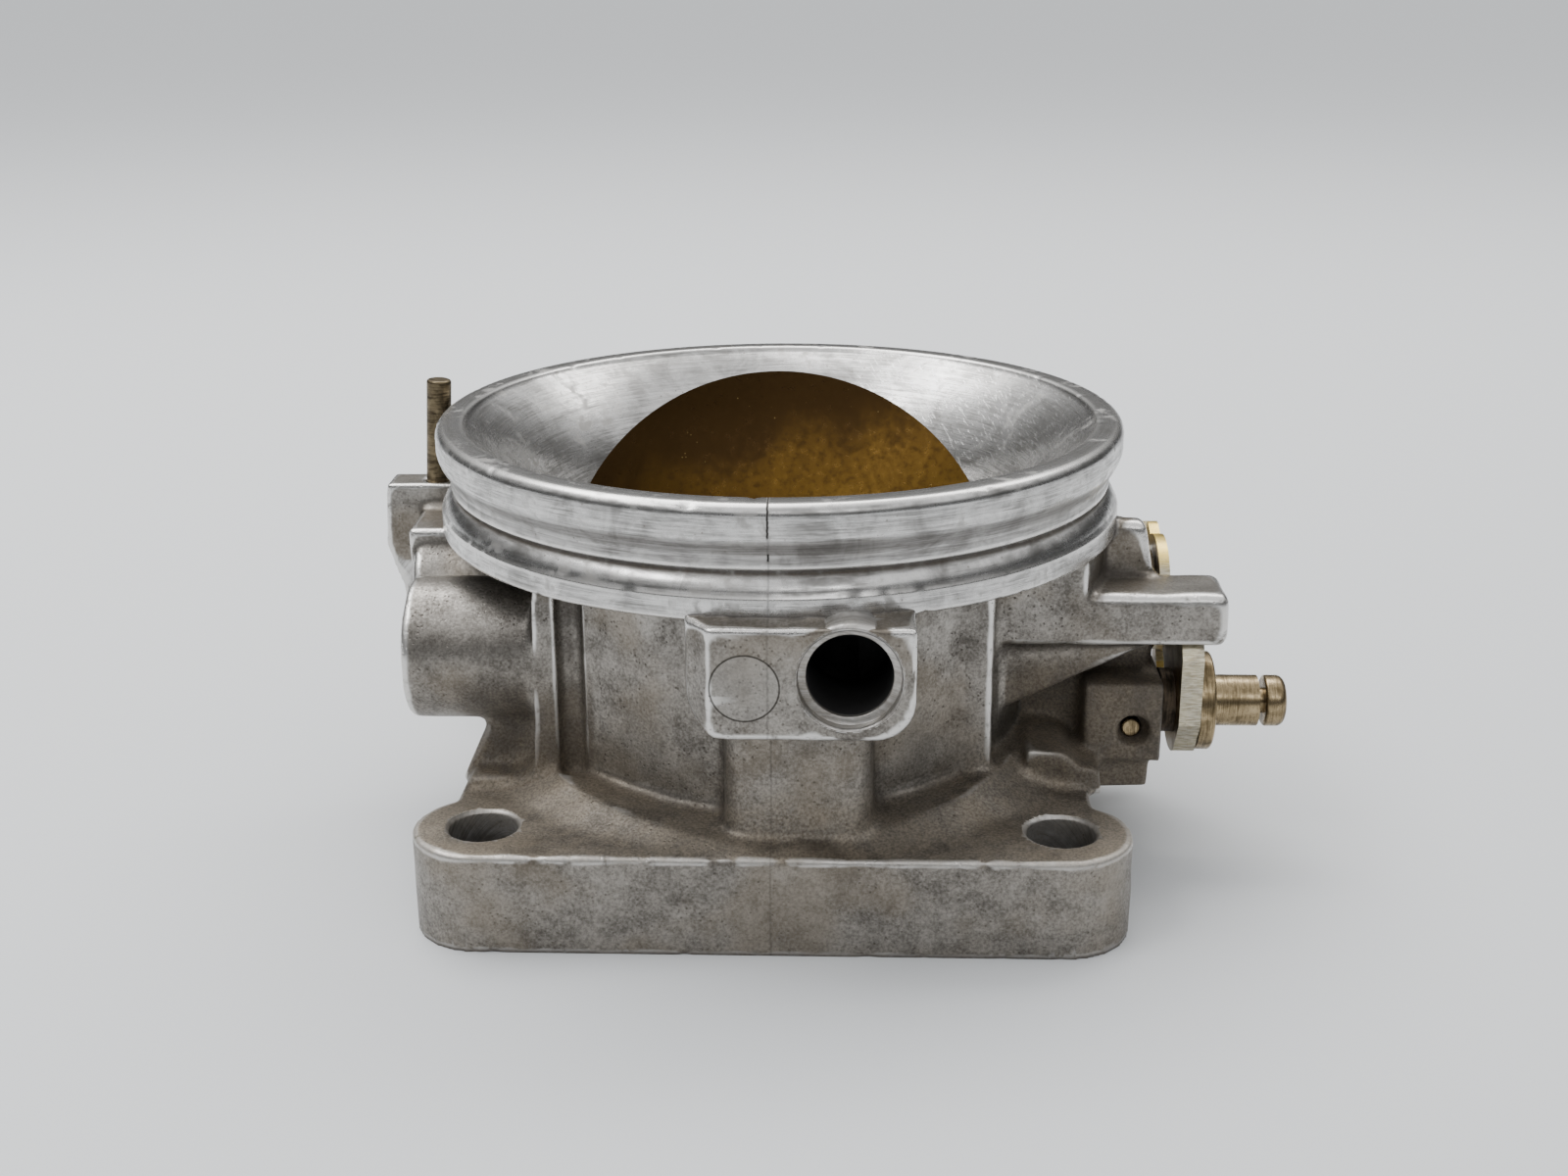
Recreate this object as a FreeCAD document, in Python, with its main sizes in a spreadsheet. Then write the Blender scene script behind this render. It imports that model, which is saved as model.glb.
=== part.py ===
"""Throttle body: a cast housing with a bell mouth, a butterfly plate on a cross shaft,
and a relay lever whose curved guide slot drives a roller on the throttle lever.

Frame: millimetres, +Z up the throat, X along the throttle shaft, the straight edge with
the idle-air port towards -Y.  The origin is the throat's centre on the flange's bottom face.
"""
import FreeCAD, Part
import math
import os
import Sketcher
from FreeCAD import Placement, Rotation, Vector

DOC = FreeCAD.newDocument("throttle_body")
SIZES = DOC.addObject("Spreadsheet::Sheet", "sizes")

# alias, value in millimetres or degrees, what it is
DRIVING = [
    ("bore_radius", 35.0, "throat at the plate"),
    ("body_height", 67.3, "flange face to the lip"),
    ("shaft_height", 37.7, "throttle shaft axis above the flange face"),
    ("barrel_radius", 40.0, "outside of the barrel"),
    ("mouth_radius", 49.4, "inside edge of the lip"),
    ("bead_radius", 53.5, "hose bead below the lip"),
    ("groove_radius", 50.8, "bottom of the clamp groove"),
    ("rim_radius", 53.1, "lower rim"),
    ("rim_underside", 50.7, "height of the lower rim's underside"),
    ("flange_thickness", 15.2, ""),
    ("flange_half", 52.3, "straight front and rear edges"),
    ("waist_half", 47.5, "side edges between the lugs"),
    ("bolt_half", 42.0, "half the hole spacing, both ways"),
    ("bolt_radius", 5.05, "flange hole"),
    ("lug_radius", 10.3, "corner round about each hole"),
    ("shaft_radius", 4.0, ""),
    ("bush_radius", 5.0, "shaft bore in the housing"),
    ("running_gap", 0.03, "radial clearance of a turning fit"),
    ("plate_thickness", 2.0, ""),
    ("plate_gap", 0.12, "between plate and throat when closed"),
    ("closed_angle", 8.0, "plate from level when closed"),
    ("travel_angle", 76.0, "wide open to closed"),
    ("boss_end", 59.4, "right faces of the shaft and relay bosses"),
    ("lever_inner", 59.7, "throttle lever's inner face"),
    ("lever_outer", 61.3, "throttle lever's outer face"),
    ("relay_inner", 61.7, "relay lever's inner face"),
    ("relay_outer", 65.0, "relay lever's outer face"),
    ("relay_depth", 13.0, "relay axle in front of the shaft"),
    ("relay_height", 24.2, "relay axle above the flange face"),
    ("axle_radius", 3.0, "relay axle in its boss"),
    ("dowel_height", 20.9, "cross dowel above the flange face"),
    ("stub_radius", 4.0, "free end of the relay axle"),
    ("roller_reach", 8.0, "roller from the shaft axis"),
    ("roller_radius", 2.2, ""),
    ("roller_angle", 302.0, "roller about the shaft when wide open"),
    ("port_x", 11.3, ""),
    ("port_z", 44.2, ""),
    ("port_radius", 5.9, ""),
    ("pad_front", 57.2, "idle-air pad in front of the throat's centre"),
]


def fill_sheet():
    for row, (alias, value, note) in enumerate(DRIVING, start=1):
        SIZES.set("A%d" % row, alias)
        SIZES.set("B%d" % row, str(value))
        SIZES.setAlias("B%d" % row, alias)
        SIZES.set("C%d" % row, note)
    DOC.recompute()


def bound(text):
    """The text with every alias written as the sheet's own property."""
    words = []
    for word in str(text).split():
        sign = "-" if word.startswith("-") and len(word) > 1 and word[1].isalpha() else ""
        bare = word[1:] if sign else word
        words.append(sign + ("sizes." + bare if bare in ALIASES else bare))
    return " ".join(words)


def number(text):
    """The value that an expression has now."""
    value = SIZES.evalExpression(bound(text))
    return float(getattr(value, "Value", value))


def minus(high, low):
    return "( %s ) - ( %s )" % (high, low)


def bind(obj, **properties):
    for name, text in properties.items():
        obj.setExpression(name, bound(text))


def place(obj, x="0", y="0", z="0"):
    obj.setExpression(".Placement.Base.x", bound(x))
    obj.setExpression(".Placement.Base.y", bound(y))
    obj.setExpression(".Placement.Base.z", bound(z))


# ---- primitives ---------------------------------------------------------------------------

def box(name, x, y, z):
    """A block between three pairs of limits."""
    block = DOC.addObject("Part::Box", name)
    bind(block, Length=minus(x[1], x[0]), Width=minus(y[1], y[0]), Height=minus(z[1], z[0]))
    place(block, x[0], y[0], z[0])
    return block


def rod(name, axis, centre, span, radius):
    """A cylinder along x, y or z; centre gives the other two coordinates in X, Y, Z order."""
    cylinder = DOC.addObject("Part::Cylinder", name)
    bind(cylinder, Radius=radius, Height=minus(span[1], span[0]))
    if axis == "x":
        cylinder.Placement = Placement(Vector(), Rotation(Vector(0, 1, 0), 90))
        place(cylinder, span[0], centre[0], centre[1])
    elif axis == "y":
        cylinder.Placement = Placement(Vector(), Rotation(Vector(1, 0, 0), -90))
        place(cylinder, centre[0], span[0], centre[1])
    else:
        place(cylinder, centre[0], centre[1], span[0])
    return cylinder


def fuse(name, shapes):
    joined = DOC.addObject("Part::MultiFuse", name)
    joined.Shapes = shapes
    joined.Refine = True
    return joined


def cut(name, base, tools):
    result = DOC.addObject("Part::Cut", name)
    result.Base = base
    result.Tool = tools[0] if len(tools) == 1 else fuse(name + "_tools", tools)
    result.Refine = True
    return result


def rounded(name, base, radius, wanted):
    """Base with every edge whose middle point passes the test rounded."""
    DOC.recompute()
    picked = []
    for index, edge in enumerate(base.Shape.Edges, start=1):
        middle = edge.valueAt((edge.FirstParameter + edge.LastParameter) / 2)
        if wanted(middle, edge):
            picked.append((index, radius, radius))
    if not picked:
        raise RuntimeError(name + ": no edge to round")
    result = DOC.addObject("Part::Fillet", name)
    result.Base = base
    result.Edges = picked
    return result


# ---- sketches -----------------------------------------------------------------------------

def origin_plane(body, role):
    return next(f for f in body.Origin.OriginFeatures if f.Role == role)


def sketch_on(body, name, role, lift="0"):
    sketch = body.newObject("Sketcher::SketchObject", name + "_sketch")
    sketch.AttachmentSupport = [(origin_plane(body, role), "")]
    sketch.MapMode = "FlatFace"
    sketch.setExpression(".AttachmentOffset.Base.z", bound(lift))
    return sketch


def pin_point(sketch, geometry, end, u, v):
    """Tie one end of a line or arc to the sketch origin by two bound distances."""
    for kind, text in (("DistanceX", u), ("DistanceY", v)):
        if abs(number(text)) < 1e-9:
            other = -2 if kind == "DistanceX" else -1
            sketch.addConstraint(Sketcher.Constraint("PointOnObject", geometry, end, other))
            continue
        index = sketch.addConstraint(
            Sketcher.Constraint(kind, -1, 1, geometry, end, number(text)))
        sketch.setExpression("Constraints[%d]" % index, bound(text))


def draw_outline(sketch, corners):
    """A closed outline. A corner is (u, v) or (u, v, radius): with a radius, the stretch that
    leaves the corner is an arc, which bulges to the right of its chord if the radius is
    positive and to the left if it is negative."""
    points = [Vector(number(c[0]), number(c[1]), 0) for c in corners]
    for i, corner in enumerate(corners):
        start, end = points[i], points[(i + 1) % len(points)]
        if len(corner) == 2:
            sketch.addGeometry(Part.LineSegment(start, end), False)
            continue
        radius = number(corner[2])
        chord = end - start
        half = chord.Length / 2
        right = Vector(chord.y, -chord.x, 0).normalize()
        sagitta = abs(radius) - math.sqrt(max(radius * radius - half * half, 0.0))
        middle = (start + end) / 2 + right * (sagitta if radius > 0 else -sagitta)
        sketch.addGeometry(Part.Arc(start, middle, end), False)
    arcs_start = {}
    for i, corner in enumerate(corners):
        arc = len(corner) == 3
        # Sketcher stores every arc counter-clockwise, so a clockwise one is entered from its end
        flipped = arc and number(corner[2]) < 0
        arcs_start[i] = (2, 1) if flipped else (1, 2)
    for i in range(len(corners)):
        following = (i + 1) % len(corners)
        sketch.addConstraint(Sketcher.Constraint(
            "Coincident", i, arcs_start[i][1], following, arcs_start[following][0]))
    for i, corner in enumerate(corners):
        pin_point(sketch, i, arcs_start[i][0], corner[0], corner[1])
        if len(corner) == 3:
            size = corner[2].lstrip("-") if isinstance(corner[2], str) else str(abs(corner[2]))
            index = sketch.addConstraint(Sketcher.Constraint("Radius", i, number(size)))
            sketch.setExpression("Constraints[%d]" % index, bound(size))


PLANES = {"z": "XY_Plane", "y": "XZ_Plane", "x": "YZ_Plane"}


def slab(name, axis, span, corners):
    """An outline pushed along one axis between two limits."""
    body = DOC.addObject("PartDesign::Body", name + "_body")
    # the XZ plane faces -Y, so its lift is measured backwards
    lift = "-1 * ( %s )" % span[1] if axis == "y" else span[0]
    sketch = sketch_on(body, name, PLANES[axis], lift)
    draw_outline(sketch, corners)
    pad = body.newObject("PartDesign::Pad", name + "_pad")
    pad.Profile = sketch
    pad.setExpression("Length", bound(minus(span[1], span[0])))
    return body


def turned(name, corners, role="XZ_Plane", axis="V_Axis"):
    """An outline of radius and height, turned about the vertical axis."""
    body = DOC.addObject("PartDesign::Body", name + "_body")
    sketch = sketch_on(body, name, role)
    draw_outline(sketch, corners)
    revolution = body.newObject("PartDesign::Revolution", name + "_turn")
    revolution.Profile = sketch
    revolution.ReferenceAxis = (sketch, [axis])
    revolution.Angle = 360.0
    return body


def keep(node, shape):
    """The shape becomes the sub-part that is written as parts/NODE.step."""
    shape.Label = node
    NODES[node] = shape
    return shape


NODES = {}
ALIASES = {row[0] for row in DRIVING}


# ---- housing ------------------------------------------------------------------------------

# centres of bores that a fitting shares
PLAIN_CENTRE = ("-18", "34.1")
STOP_CENTRE = ("56.4", "8")
POST_BASE = Vector(-57.3, 10.5, 46)
POST_LEAN = 3.5

def flange_outline():
    """Straight front and rear edges, a round lug about each hole, waisted sides."""
    reach = number("lug_radius")
    side = number("waist_half") - number("bolt_half")
    rise = math.sqrt(reach * reach - side * side)
    shoulder = "bolt_half - %.6f" % rise
    return [
        ("-1 * bolt_half", "-1 * flange_half"), ("bolt_half", "-1 * flange_half", "lug_radius"),
        ("waist_half", "-1 * ( %s )" % shoulder), ("waist_half", shoulder, "lug_radius"),
        ("bolt_half", "flange_half"), ("-1 * bolt_half", "flange_half", "lug_radius"),
        ("-1 * waist_half", shoulder), ("-1 * waist_half", "-1 * ( %s )" % shoulder, "lug_radius"),
    ]


def barrel():
    """Barrel, lower rim, clamp groove, hose bead and lip, as one turning."""
    return turned("barrel", [
        ("0", "0"), ("barrel_radius", "0"),
        ("barrel_radius", "rim_underside - 4", "-4"),
        ("barrel_radius + 4", "rim_underside"),
        ("rim_radius - 0.6", "rim_underside", "0.6"),
        ("rim_radius", "rim_underside + 0.6"), ("rim_radius", "rim_underside + 3.4"),
        ("rim_radius - 0.35", "rim_underside + 3.9", "4"),
        ("groove_radius + 0.5", "rim_underside + 6.1"),
        ("groove_radius", "rim_underside + 6.6"),
        ("groove_radius + 0.75", "rim_underside + 7.2"),
        ("groove_radius + 0.8", "rim_underside + 8.5", "-5"),
        ("bead_radius - 0.75", "rim_underside + 10.8", "5"),
        ("bead_radius", "rim_underside + 13"),
        ("bead_radius", "rim_underside + 15", "1.7"),
        ("bead_radius - 1.5", "body_height"), ("0", "body_height"),
    ])


def skirt():
    """The sloping foot of the barrel: it runs down on to the flange, stays inside the flange's
    outline and sinks towards the middle of the front and the rear."""
    cone = turned("skirt_cone", [
        ("0", "flange_thickness - 1"), ("52", "flange_thickness - 1"),
        ("52", "flange_thickness + 0.05", "-20"), ("barrel_radius", "flange_thickness + 9.4"),
        ("0", "flange_thickness + 9.4"),
    ])
    inside = slab("skirt_limit", "z", ("flange_thickness - 2", "flange_thickness + 12"),
                  flange_outline())
    valley = slab("skirt_valley", "y", ("-60", "60"), [
        ("-60", "14"), ("60", "14"), ("60", "flange_thickness + 10"),
        ("28", "flange_thickness + 2.9"), ("0", "flange_thickness + 0.6"),
        ("-28", "flange_thickness + 2.9"), ("-60", "flange_thickness + 10"),
    ])
    foot = DOC.addObject("Part::MultiCommon", "skirt")
    foot.Shapes = [cone, inside, valley]
    return foot


def throat():
    """The bore below the plate's sweep, then the bell mouth."""
    return turned("throat", [
        ("0", "-1"), ("bore_radius", "-1"), ("bore_radius", "shaft_height + 6.3", "-34"),
        ("mouth_radius - 0.5", "body_height - 0.6", "-0.8"),
        ("mouth_radius", "body_height"), ("mouth_radius", "body_height + 1"),
        ("0", "body_height + 1"),
    ])


def front_pad():
    """Idle-air pad: flat face, rounded lower corners, slanted left cheek, and the column that
    carries its passage down to the flange."""
    face = slab("pad_face", "y", ("-1 * pad_front", "-38"), [
        ("-11", "51.5"), ("-11", "41", "5.6"), ("-5.4", "35.4"), ("14.6", "35.4", "5.6"),
        ("20.2", "41"), ("20.2", "51.5"),
    ])
    cheek = slab("pad_cheek", "z", ("34", "53"), [
        ("-12", "-51.6"), ("-12", "-1 * pad_front - 1"), ("-7", "-1 * pad_front - 1"),
    ])
    pad = cut("pad", face, [cheek])
    column = slab("column", "z", ("flange_thickness - 1", "37"), [
        ("-6.6", "-38"), ("-6.6", "-43.4", "3.9"), ("-2.7", "-47.3"), ("10.8", "-47.3", "3.9"),
        ("14.7", "-43.4"), ("14.7", "-38"),
    ])
    return [pad, column]


def left_side():
    """The plain boss in front, the shaft boss with its squared top, the post lug behind, and
    the recessed web with its frame."""
    boss = rounded("plain_boss", rod("plain_boss_rod", "x", PLAIN_CENTRE, ("-55.9", "-30"), "10.9"),
                   0.5, lambda p, e: abs(p.x + 55.9) < 0.1)
    shaft_boss = rounded("left_shaft_boss",
                         rod("left_shaft_rod", "x", ("0", "shaft_height"), ("-58", "-33"), "9.8"),
                         0.8, lambda p, e: abs(p.x + 58) < 0.1)
    squared = box("left_shaft_block", ("-59", "-33"), ("-5", "8"), ("37", "48.8"))
    lug = slab("post_lug", "y", ("7", "14"), [
        ("-65", "53"), ("-65.6", "42.5"), ("-63.3", "36"), ("-62.4", "28"), ("-60", "26"),
        ("-40", "26"), ("-40", "53"),
    ])
    backing = slab("left_web", "y", ("-24", "-17"), [
        ("-30", "14"), ("-48.6", "14"), ("-43.4", "25.5"), ("-43", "30"), ("-30", "30"),
    ])
    frame = slab("left_frame", "y", ("-29.4", "-21"), [
        ("-27", "14"), ("-47", "14"), ("-46.2", "17.2"), ("-39.2", "17.2", "3"),
        ("-36.2", "20.2"), ("-35.6", "rim_underside"), ("-27", "rim_underside"),
    ])
    return [boss, shaft_boss, squared, lug, backing, frame]


def bell_shelf():
    """The solid under the rim where the stop bar joins the barrel."""
    core = rod("shelf_core", "z", ("0", "0"), ("43", "rim_underside + 0.2"), "51.6")
    sector = box("shelf_sector", ("28", "60"), ("-22", "-6"), ("42", "rim_underside + 1"))
    shelf = DOC.addObject("Part::MultiCommon", "bell_shelf")
    shelf.Shapes = [core, sector]
    return shelf


def right_side():
    """The shaft boss with its neck, the stop bar and its gusset and upright, the relay boss
    and the lug of the stop screw."""
    root = rod("right_boss_root", "x", ("0", "shaft_height"), ("33", "46"), "11.5")
    neck = rounded("right_neck", rod("right_neck_rod", "x", ("0", "shaft_height"),
                                     ("33", "boss_end"), "7.4"),
                   0.8, lambda p, e: abs(p.x - number("boss_end")) < 0.1)
    bar = rounded("stop_bar", box("stop_bar_block", ("28", "68.2"), ("-22", "-11"), ("36.4", "44.4")),
                  1.6, lambda p, e: p.x > 60 or (p.y < -21 and p.z > 44))
    upright = rounded("upright", slab("upright_plate", "y", ("-12.5", "-8.4"), [
        ("50.3", "38"), ("58", "38"), ("57.6", "46.4"), ("56.2", "53"), ("50.3", "53")]),
                      1.4, lambda p, e: p.z > 52.9 and abs(p.y + 10.45) < 3)
    web = box("upright_web", ("38", "58.4"), ("-12.5", "-6"), ("28", "44.9"))
    gusset = slab("gusset", "y", ("-20.4", "-14"), [
        ("28", "22"), ("33.4", "24.6"), ("56.5", "36"), ("56.5", "37"), ("28", "37"),
    ])
    relay = rounded("relay_boss",
                    box("relay_block", ("47.4", "boss_end"), ("-19.5", "-5.5"), ("16.2", "29.2")),
                    1.0, lambda p, e: abs(e.Vertexes[0].X - e.Vertexes[-1].X) > 5)
    foot = box("relay_foot", ("46", "58"), ("-17.5", "-5.5"), ("11", "16.6"))
    relay_arm = slab("relay_arm", "x", ("32", "48.5"), [
        ("-13", "14"), ("-5.5", "14"), ("-5.5", "29.2"), ("-13", "29.2"),
    ])
    rib = slab("right_frame", "z", ("14", "rim_underside"), [
        ("27.6", "-20"), ("27.6", "-27.8", "1.8"), ("29.2", "-29.4"), ("31.6", "-29.4", "1"),
        ("32.6", "-28.4"), ("32.6", "-20"),
    ])
    ledge = slab("relay_ledge", "y", ("-27", "-13"), [
        ("38", "14"), ("49.8", "14"), ("49.2", "18.2"), ("46", "18.6", "5"), ("43", "21"),
        ("38", "21.4"),
    ])
    screw_lug = rounded("screw_lug",
                        box("screw_lug_block", ("34", "60.7"), ("3.6", "12.4"), ("17", "25")),
                        2.5, lambda p, e: p.x > 60 and abs(e.Vertexes[0].Z - e.Vertexes[-1].Z) > 5)
    return [root, neck, bar, upright, web, bell_shelf(), gusset, relay, foot, relay_arm, rib,
            ledge, screw_lug]


def leaning_rod(name, low, high, radius):
    """A rod on the axis of the spring post, which leans inwards; low and high are measured
    along it and equal its heights within 0.1 mm."""
    post = DOC.addObject("Part::Cylinder", name)
    bind(post, Radius=radius, Height=str(high - low))
    lean = Rotation(Vector(0, 1, 0), POST_LEAN)
    start = POST_BASE + lean.multVec(Vector(0, 0, low - POST_BASE.z))
    post.Placement = Placement(start, lean)
    return post


def rear_ribs():
    """Two ribs and the mould seam's thickening behind the barrel."""
    ribs = []
    for name, x in (("left", "-20"), ("right", "16")):
        ribs.append(slab("rear_rib_" + name, "x", (x, x + " + 4"), [
            ("30", "14"), ("47", "14"), ("40.5", "34"), ("40.5", "47"), ("30", "47"),
        ]))
    return ribs


def housing_voids():
    """Everything drilled, bored or milled out of the casting."""
    voids = [throat()]
    for name, x, y in (("front_left", "-1", "-1"), ("front_right", "1", "-1"),
                       ("rear_left", "-1", "1"), ("rear_right", "1", "1")):
        across = x + " * bolt_half"
        along = y + " * bolt_half"
        voids.append(rod("bolt_" + name, "z", (across, along), ("-1", "30"), "bolt_radius"))
        voids.append(rod("spot_" + name, "z", (across, along),
                         ("flange_thickness", "flange_thickness + 9"), "8.5"))
    voids += [
        rod("shaft_bore", "x", ("0", "shaft_height"), ("-60.5", "boss_end + 0.5"), "bush_radius"),
        rod("shaft_pocket", "x", ("0", "shaft_height"), ("-60.5", "-52"), "7.3"),
        rod("plain_bore", "x", PLAIN_CENTRE, ("-56.4", "-46"), "6.5"),
        box("left_flute", ("-32.3", "-28.4"), ("-31", "-27.4"), ("17.6", "rim_underside - 0.5")),
        rod("port_seat", "y", ("port_x", "port_z"), ("-1 * pad_front - 1", "-1 * pad_front + 1.8"),
            "port_radius + 1.1"),
        cut("ejector_mark", rod("ejector_outer", "y", ("-2.8", "43"),
                                ("-1 * pad_front - 1", "-1 * pad_front + 0.25"), "4.85"),
            [rod("ejector_inner", "y", ("-2.8", "43"),
                 ("-1 * pad_front - 2", "-1 * pad_front + 1"), "4.55")]),
        rod("port_bore", "y", ("port_x", "port_z"), ("-1 * pad_front - 1", "-40.5"), "port_radius"),
        rod("passage", "z", ("9.6", "-42"), ("-1", "port_z"), "3.4"),
        rod("relay_bore", "x", ("-1 * relay_depth", "relay_height"), ("48.6", "boss_end + 0.5"),
            "axle_radius"),
        rod("dowel_entry", "y", ("55.1", "dowel_height + 0.5"), ("-20.5", "-16.2"), "2.45"),
        rod("dowel_bore", "y", ("55.1", "dowel_height"), ("-18", "-7"), "1.5"),
        leaning_rod("post_bore", 45, 55, "2"),
        rod("stop_thread", "z", STOP_CENTRE, ("16", "26"), "2"),
    ]
    return voids


def housing():
    flange = slab("flange", "z", ("0", "flange_thickness"), flange_outline())
    lumps = [flange, barrel(), skirt()] + front_pad() + left_side() + right_side() + rear_ribs()
    keep("throttle_housing", cut("housing_cut", fuse("housing_lumps", lumps), housing_voids()))


# ---- throttle: plate, shaft and lever -------------------------------------------------------

def open_pose(obj):
    """From the plate's own frame, where it lies level on the shaft axis, to wide open."""
    obj.Placement = Placement(Vector(0, 0, number("shaft_height")),
                              Rotation(Vector(1, 0, 0), number("closed_angle + travel_angle")))
    obj.setExpression(".Placement.Base.z", bound("shaft_height"))
    obj.setExpression(".Placement.Rotation.Angle", bound("closed_angle + travel_angle"))
    return obj


def plate_blank(name, thickness, radius):
    """The slice of a cylinder that closes the throat at the closed angle."""
    cylinder = DOC.addObject("Part::Cylinder", name + "_round")
    bind(cylinder, Radius=radius, Height="40")
    tilt = Rotation(Vector(1, 0, 0), -number("closed_angle"))
    cylinder.Placement = Placement(tilt.multVec(Vector(0, 0, -20)), tilt)
    sheet = box(name + "_sheet", ("-40", "40"), ("-40", "40"),
                ("-1 * %s / 2" % thickness, "%s / 2" % thickness))
    both = DOC.addObject("Part::MultiCommon", name)
    both.Shapes = [cylinder, sheet]
    return both


SCREW_X = ("-15", "15")


def throttle_plate():
    blank = plate_blank("plate_blank", "plate_thickness", "bore_radius - plate_gap")
    holes = [rod("plate_hole_%d" % i, "z", (x, "0"), ("-9", "9"), "2") for i, x in enumerate(SCREW_X)]
    keep("throttle_plate", open_pose(cut("plate_cut", blank, holes)))


def throttle_shaft():
    """A round bar with a slot for the plate, a flat under the screw heads and a clip groove.
    Its right end is peened flush over the lever."""
    bar = rod("shaft_bar", "x", ("0", "0"), ("-55.6", "lever_outer"), "shaft_radius")
    slot = box("shaft_slot", ("-1 * bore_radius + 0.05", "bore_radius - 0.05"), ("-6", "6"),
               ("-1 * plate_thickness / 2 - 0.01", "plate_thickness / 2 + 0.01"))
    flat = box("shaft_flat", ("-24", "24"), ("-6", "6"), ("3", "6"))
    holes = [rod("shaft_hole_%d" % i, "z", (x, "0"), ("-9", "9"), "2") for i, x in enumerate(SCREW_X)]
    groove = cut("clip_groove", rod("clip_groove_outer", "x", ("0", "0"), ("-53.5", "-52.6"), "6"),
                 [rod("clip_groove_inner", "x", ("0", "0"), ("-54", "-52"), "3.1")])
    drive = [box("drive_flat_top", ("lever_inner", "lever_outer + 1"), ("-6", "6"), ("3.1", "6")),
             box("drive_flat_low", ("lever_inner", "lever_outer + 1"), ("-6", "6"), ("-6", "-3.1"))]
    keep("throttle_shaft", open_pose(cut("shaft_cut", bar, [slot, flat, groove] + holes + drive)))


def plate_screws():
    """Two cheese-head screws through shaft and plate."""
    screws = []
    for i, x in enumerate(SCREW_X):
        stem = rod("screw_stem_%d" % i, "z", (x, "0"), ("-3.6", "3"), "1.98")
        head = rounded("screw_head_%d" % i, rod("screw_cap_%d" % i, "z", (x, "0"), ("3", "5.2"), "3.5"),
                       0.4, lambda p, e: p.z > 5)
        slot = box("screw_slot_%d" % i, (x + " - 5", x + " + 5"), ("-0.5", "0.5"), ("4.2", "6"))
        screws.append(cut("plate_screw_%d" % i, fuse("screw_solid_%d" % i, [stem, head]), [slot]))
    both = DOC.addObject("Part::Compound", "plate_screw_pair")
    both.Links = screws
    keep("plate_screws", open_pose(both))


def arm(name, axis_y, axis_z, hub, reach, angle, end, span):
    """A tapered arm: a hub round, an end round and the two lines tangent to both."""
    turn = math.radians(angle)
    lean = math.acos((hub - end) / reach)
    along = Vector(math.cos(turn), math.sin(turn), 0)
    across = Vector(-along.y, along.x, 0)
    centre = Vector(number(axis_y), number(axis_z), 0)
    tip = centre + along * reach

    def touch(point, radius, side):
        return point + (along * math.cos(lean) + across * math.sin(lean) * side) * radius

    body = DOC.addObject("PartDesign::Body", name + "_body")
    sketch = sketch_on(body, name, "YZ_Plane", span[0])
    sketch.addGeometry([
        Part.Arc(touch(centre, hub, 1), centre - along * hub, touch(centre, hub, -1)),
        Part.LineSegment(touch(centre, hub, -1), touch(tip, end, -1)),
        Part.Arc(touch(tip, end, -1), tip + along * end, touch(tip, end, 1)),
        Part.LineSegment(touch(tip, end, 1), touch(centre, hub, 1)),
    ], False)
    for first, second in ((0, 1), (1, 2), (2, 3), (3, 0)):
        ends = (2, 1)
        sketch.addConstraint(Sketcher.Constraint("Tangent", first, ends[0], second, ends[1]))
    pin_point(sketch, 0, 3, axis_y, axis_z)
    sketch.addConstraint(Sketcher.Constraint("Radius", 0, hub))
    sketch.addConstraint(Sketcher.Constraint("Radius", 2, end))
    sketch.addConstraint(Sketcher.Constraint("DistanceX", 0, 3, 2, 3, tip.x - centre.x))
    sketch.addConstraint(Sketcher.Constraint("DistanceY", 0, 3, 2, 3, tip.y - centre.y))
    pad = body.newObject("PartDesign::Pad", name + "_pad")
    pad.Profile = sketch
    pad.setExpression("Length", bound(minus(span[1], span[0])))
    return body


STOP_REACH = 10.4
STOP_ANGLE = 46.0
TAB_HALF = 0.8


def turned_box(name, x, radial, half, angle):
    """A block that points away from the shaft axis at an angle."""
    block = DOC.addObject("Part::Box", name)
    block.Length = number(minus(x[1], x[0]))
    block.Width = radial[1] - radial[0]
    block.Height = 2 * half
    swing = Placement(Vector(0, 0, number("shaft_height")), Rotation(Vector(1, 0, 0), angle))
    block.Placement = swing.multiply(
        Placement(Vector(number(x[0]), radial[0], -half), Rotation()))
    return block


def throttle_lever():
    """Hub disc on the shaft's flats, a short arm for the roller and a bent tab for the stop."""
    thick = ("lever_inner", "lever_outer")
    hub = rod("lever_hub", "x", ("0", "shaft_height"), thick, "9.3")
    roller_arm = arm("roller_arm", "0", "shaft_height", 7.0, number("roller_reach"),
                     number("roller_angle"), 3.3, thick)
    stop_arm = arm("stop_arm", "0", "shaft_height", 6.5, STOP_REACH, STOP_ANGLE, 1.9, thick)
    tab = turned_box("stop_tab", ("52.8", "lever_outer"), (8.7, STOP_REACH + 1.9), TAB_HALF,
                     STOP_ANGLE)
    solid = fuse("lever_fused", [hub, roller_arm, stop_arm, tab])
    bore = rod("lever_bore", "x", ("0", "0"), ("lever_inner - 1", "lever_outer + 1"), "shaft_radius")
    flats = box("lever_flats", ("lever_inner - 1", "lever_outer + 1"), ("-5", "5"), ("-3.1", "3.1"))
    hole = DOC.addObject("Part::MultiCommon", "lever_hole")
    hole.Shapes = [bore, flats]
    stud_hole = rod("lever_stud_hole", "x", roller_centre(), thick_through(), "1.5")
    keep("throttle_lever", cut("lever_cut", solid, [open_pose(hole), stud_hole]))


def thick_through():
    return ("lever_inner - 1", "lever_outer + 1")


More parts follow.
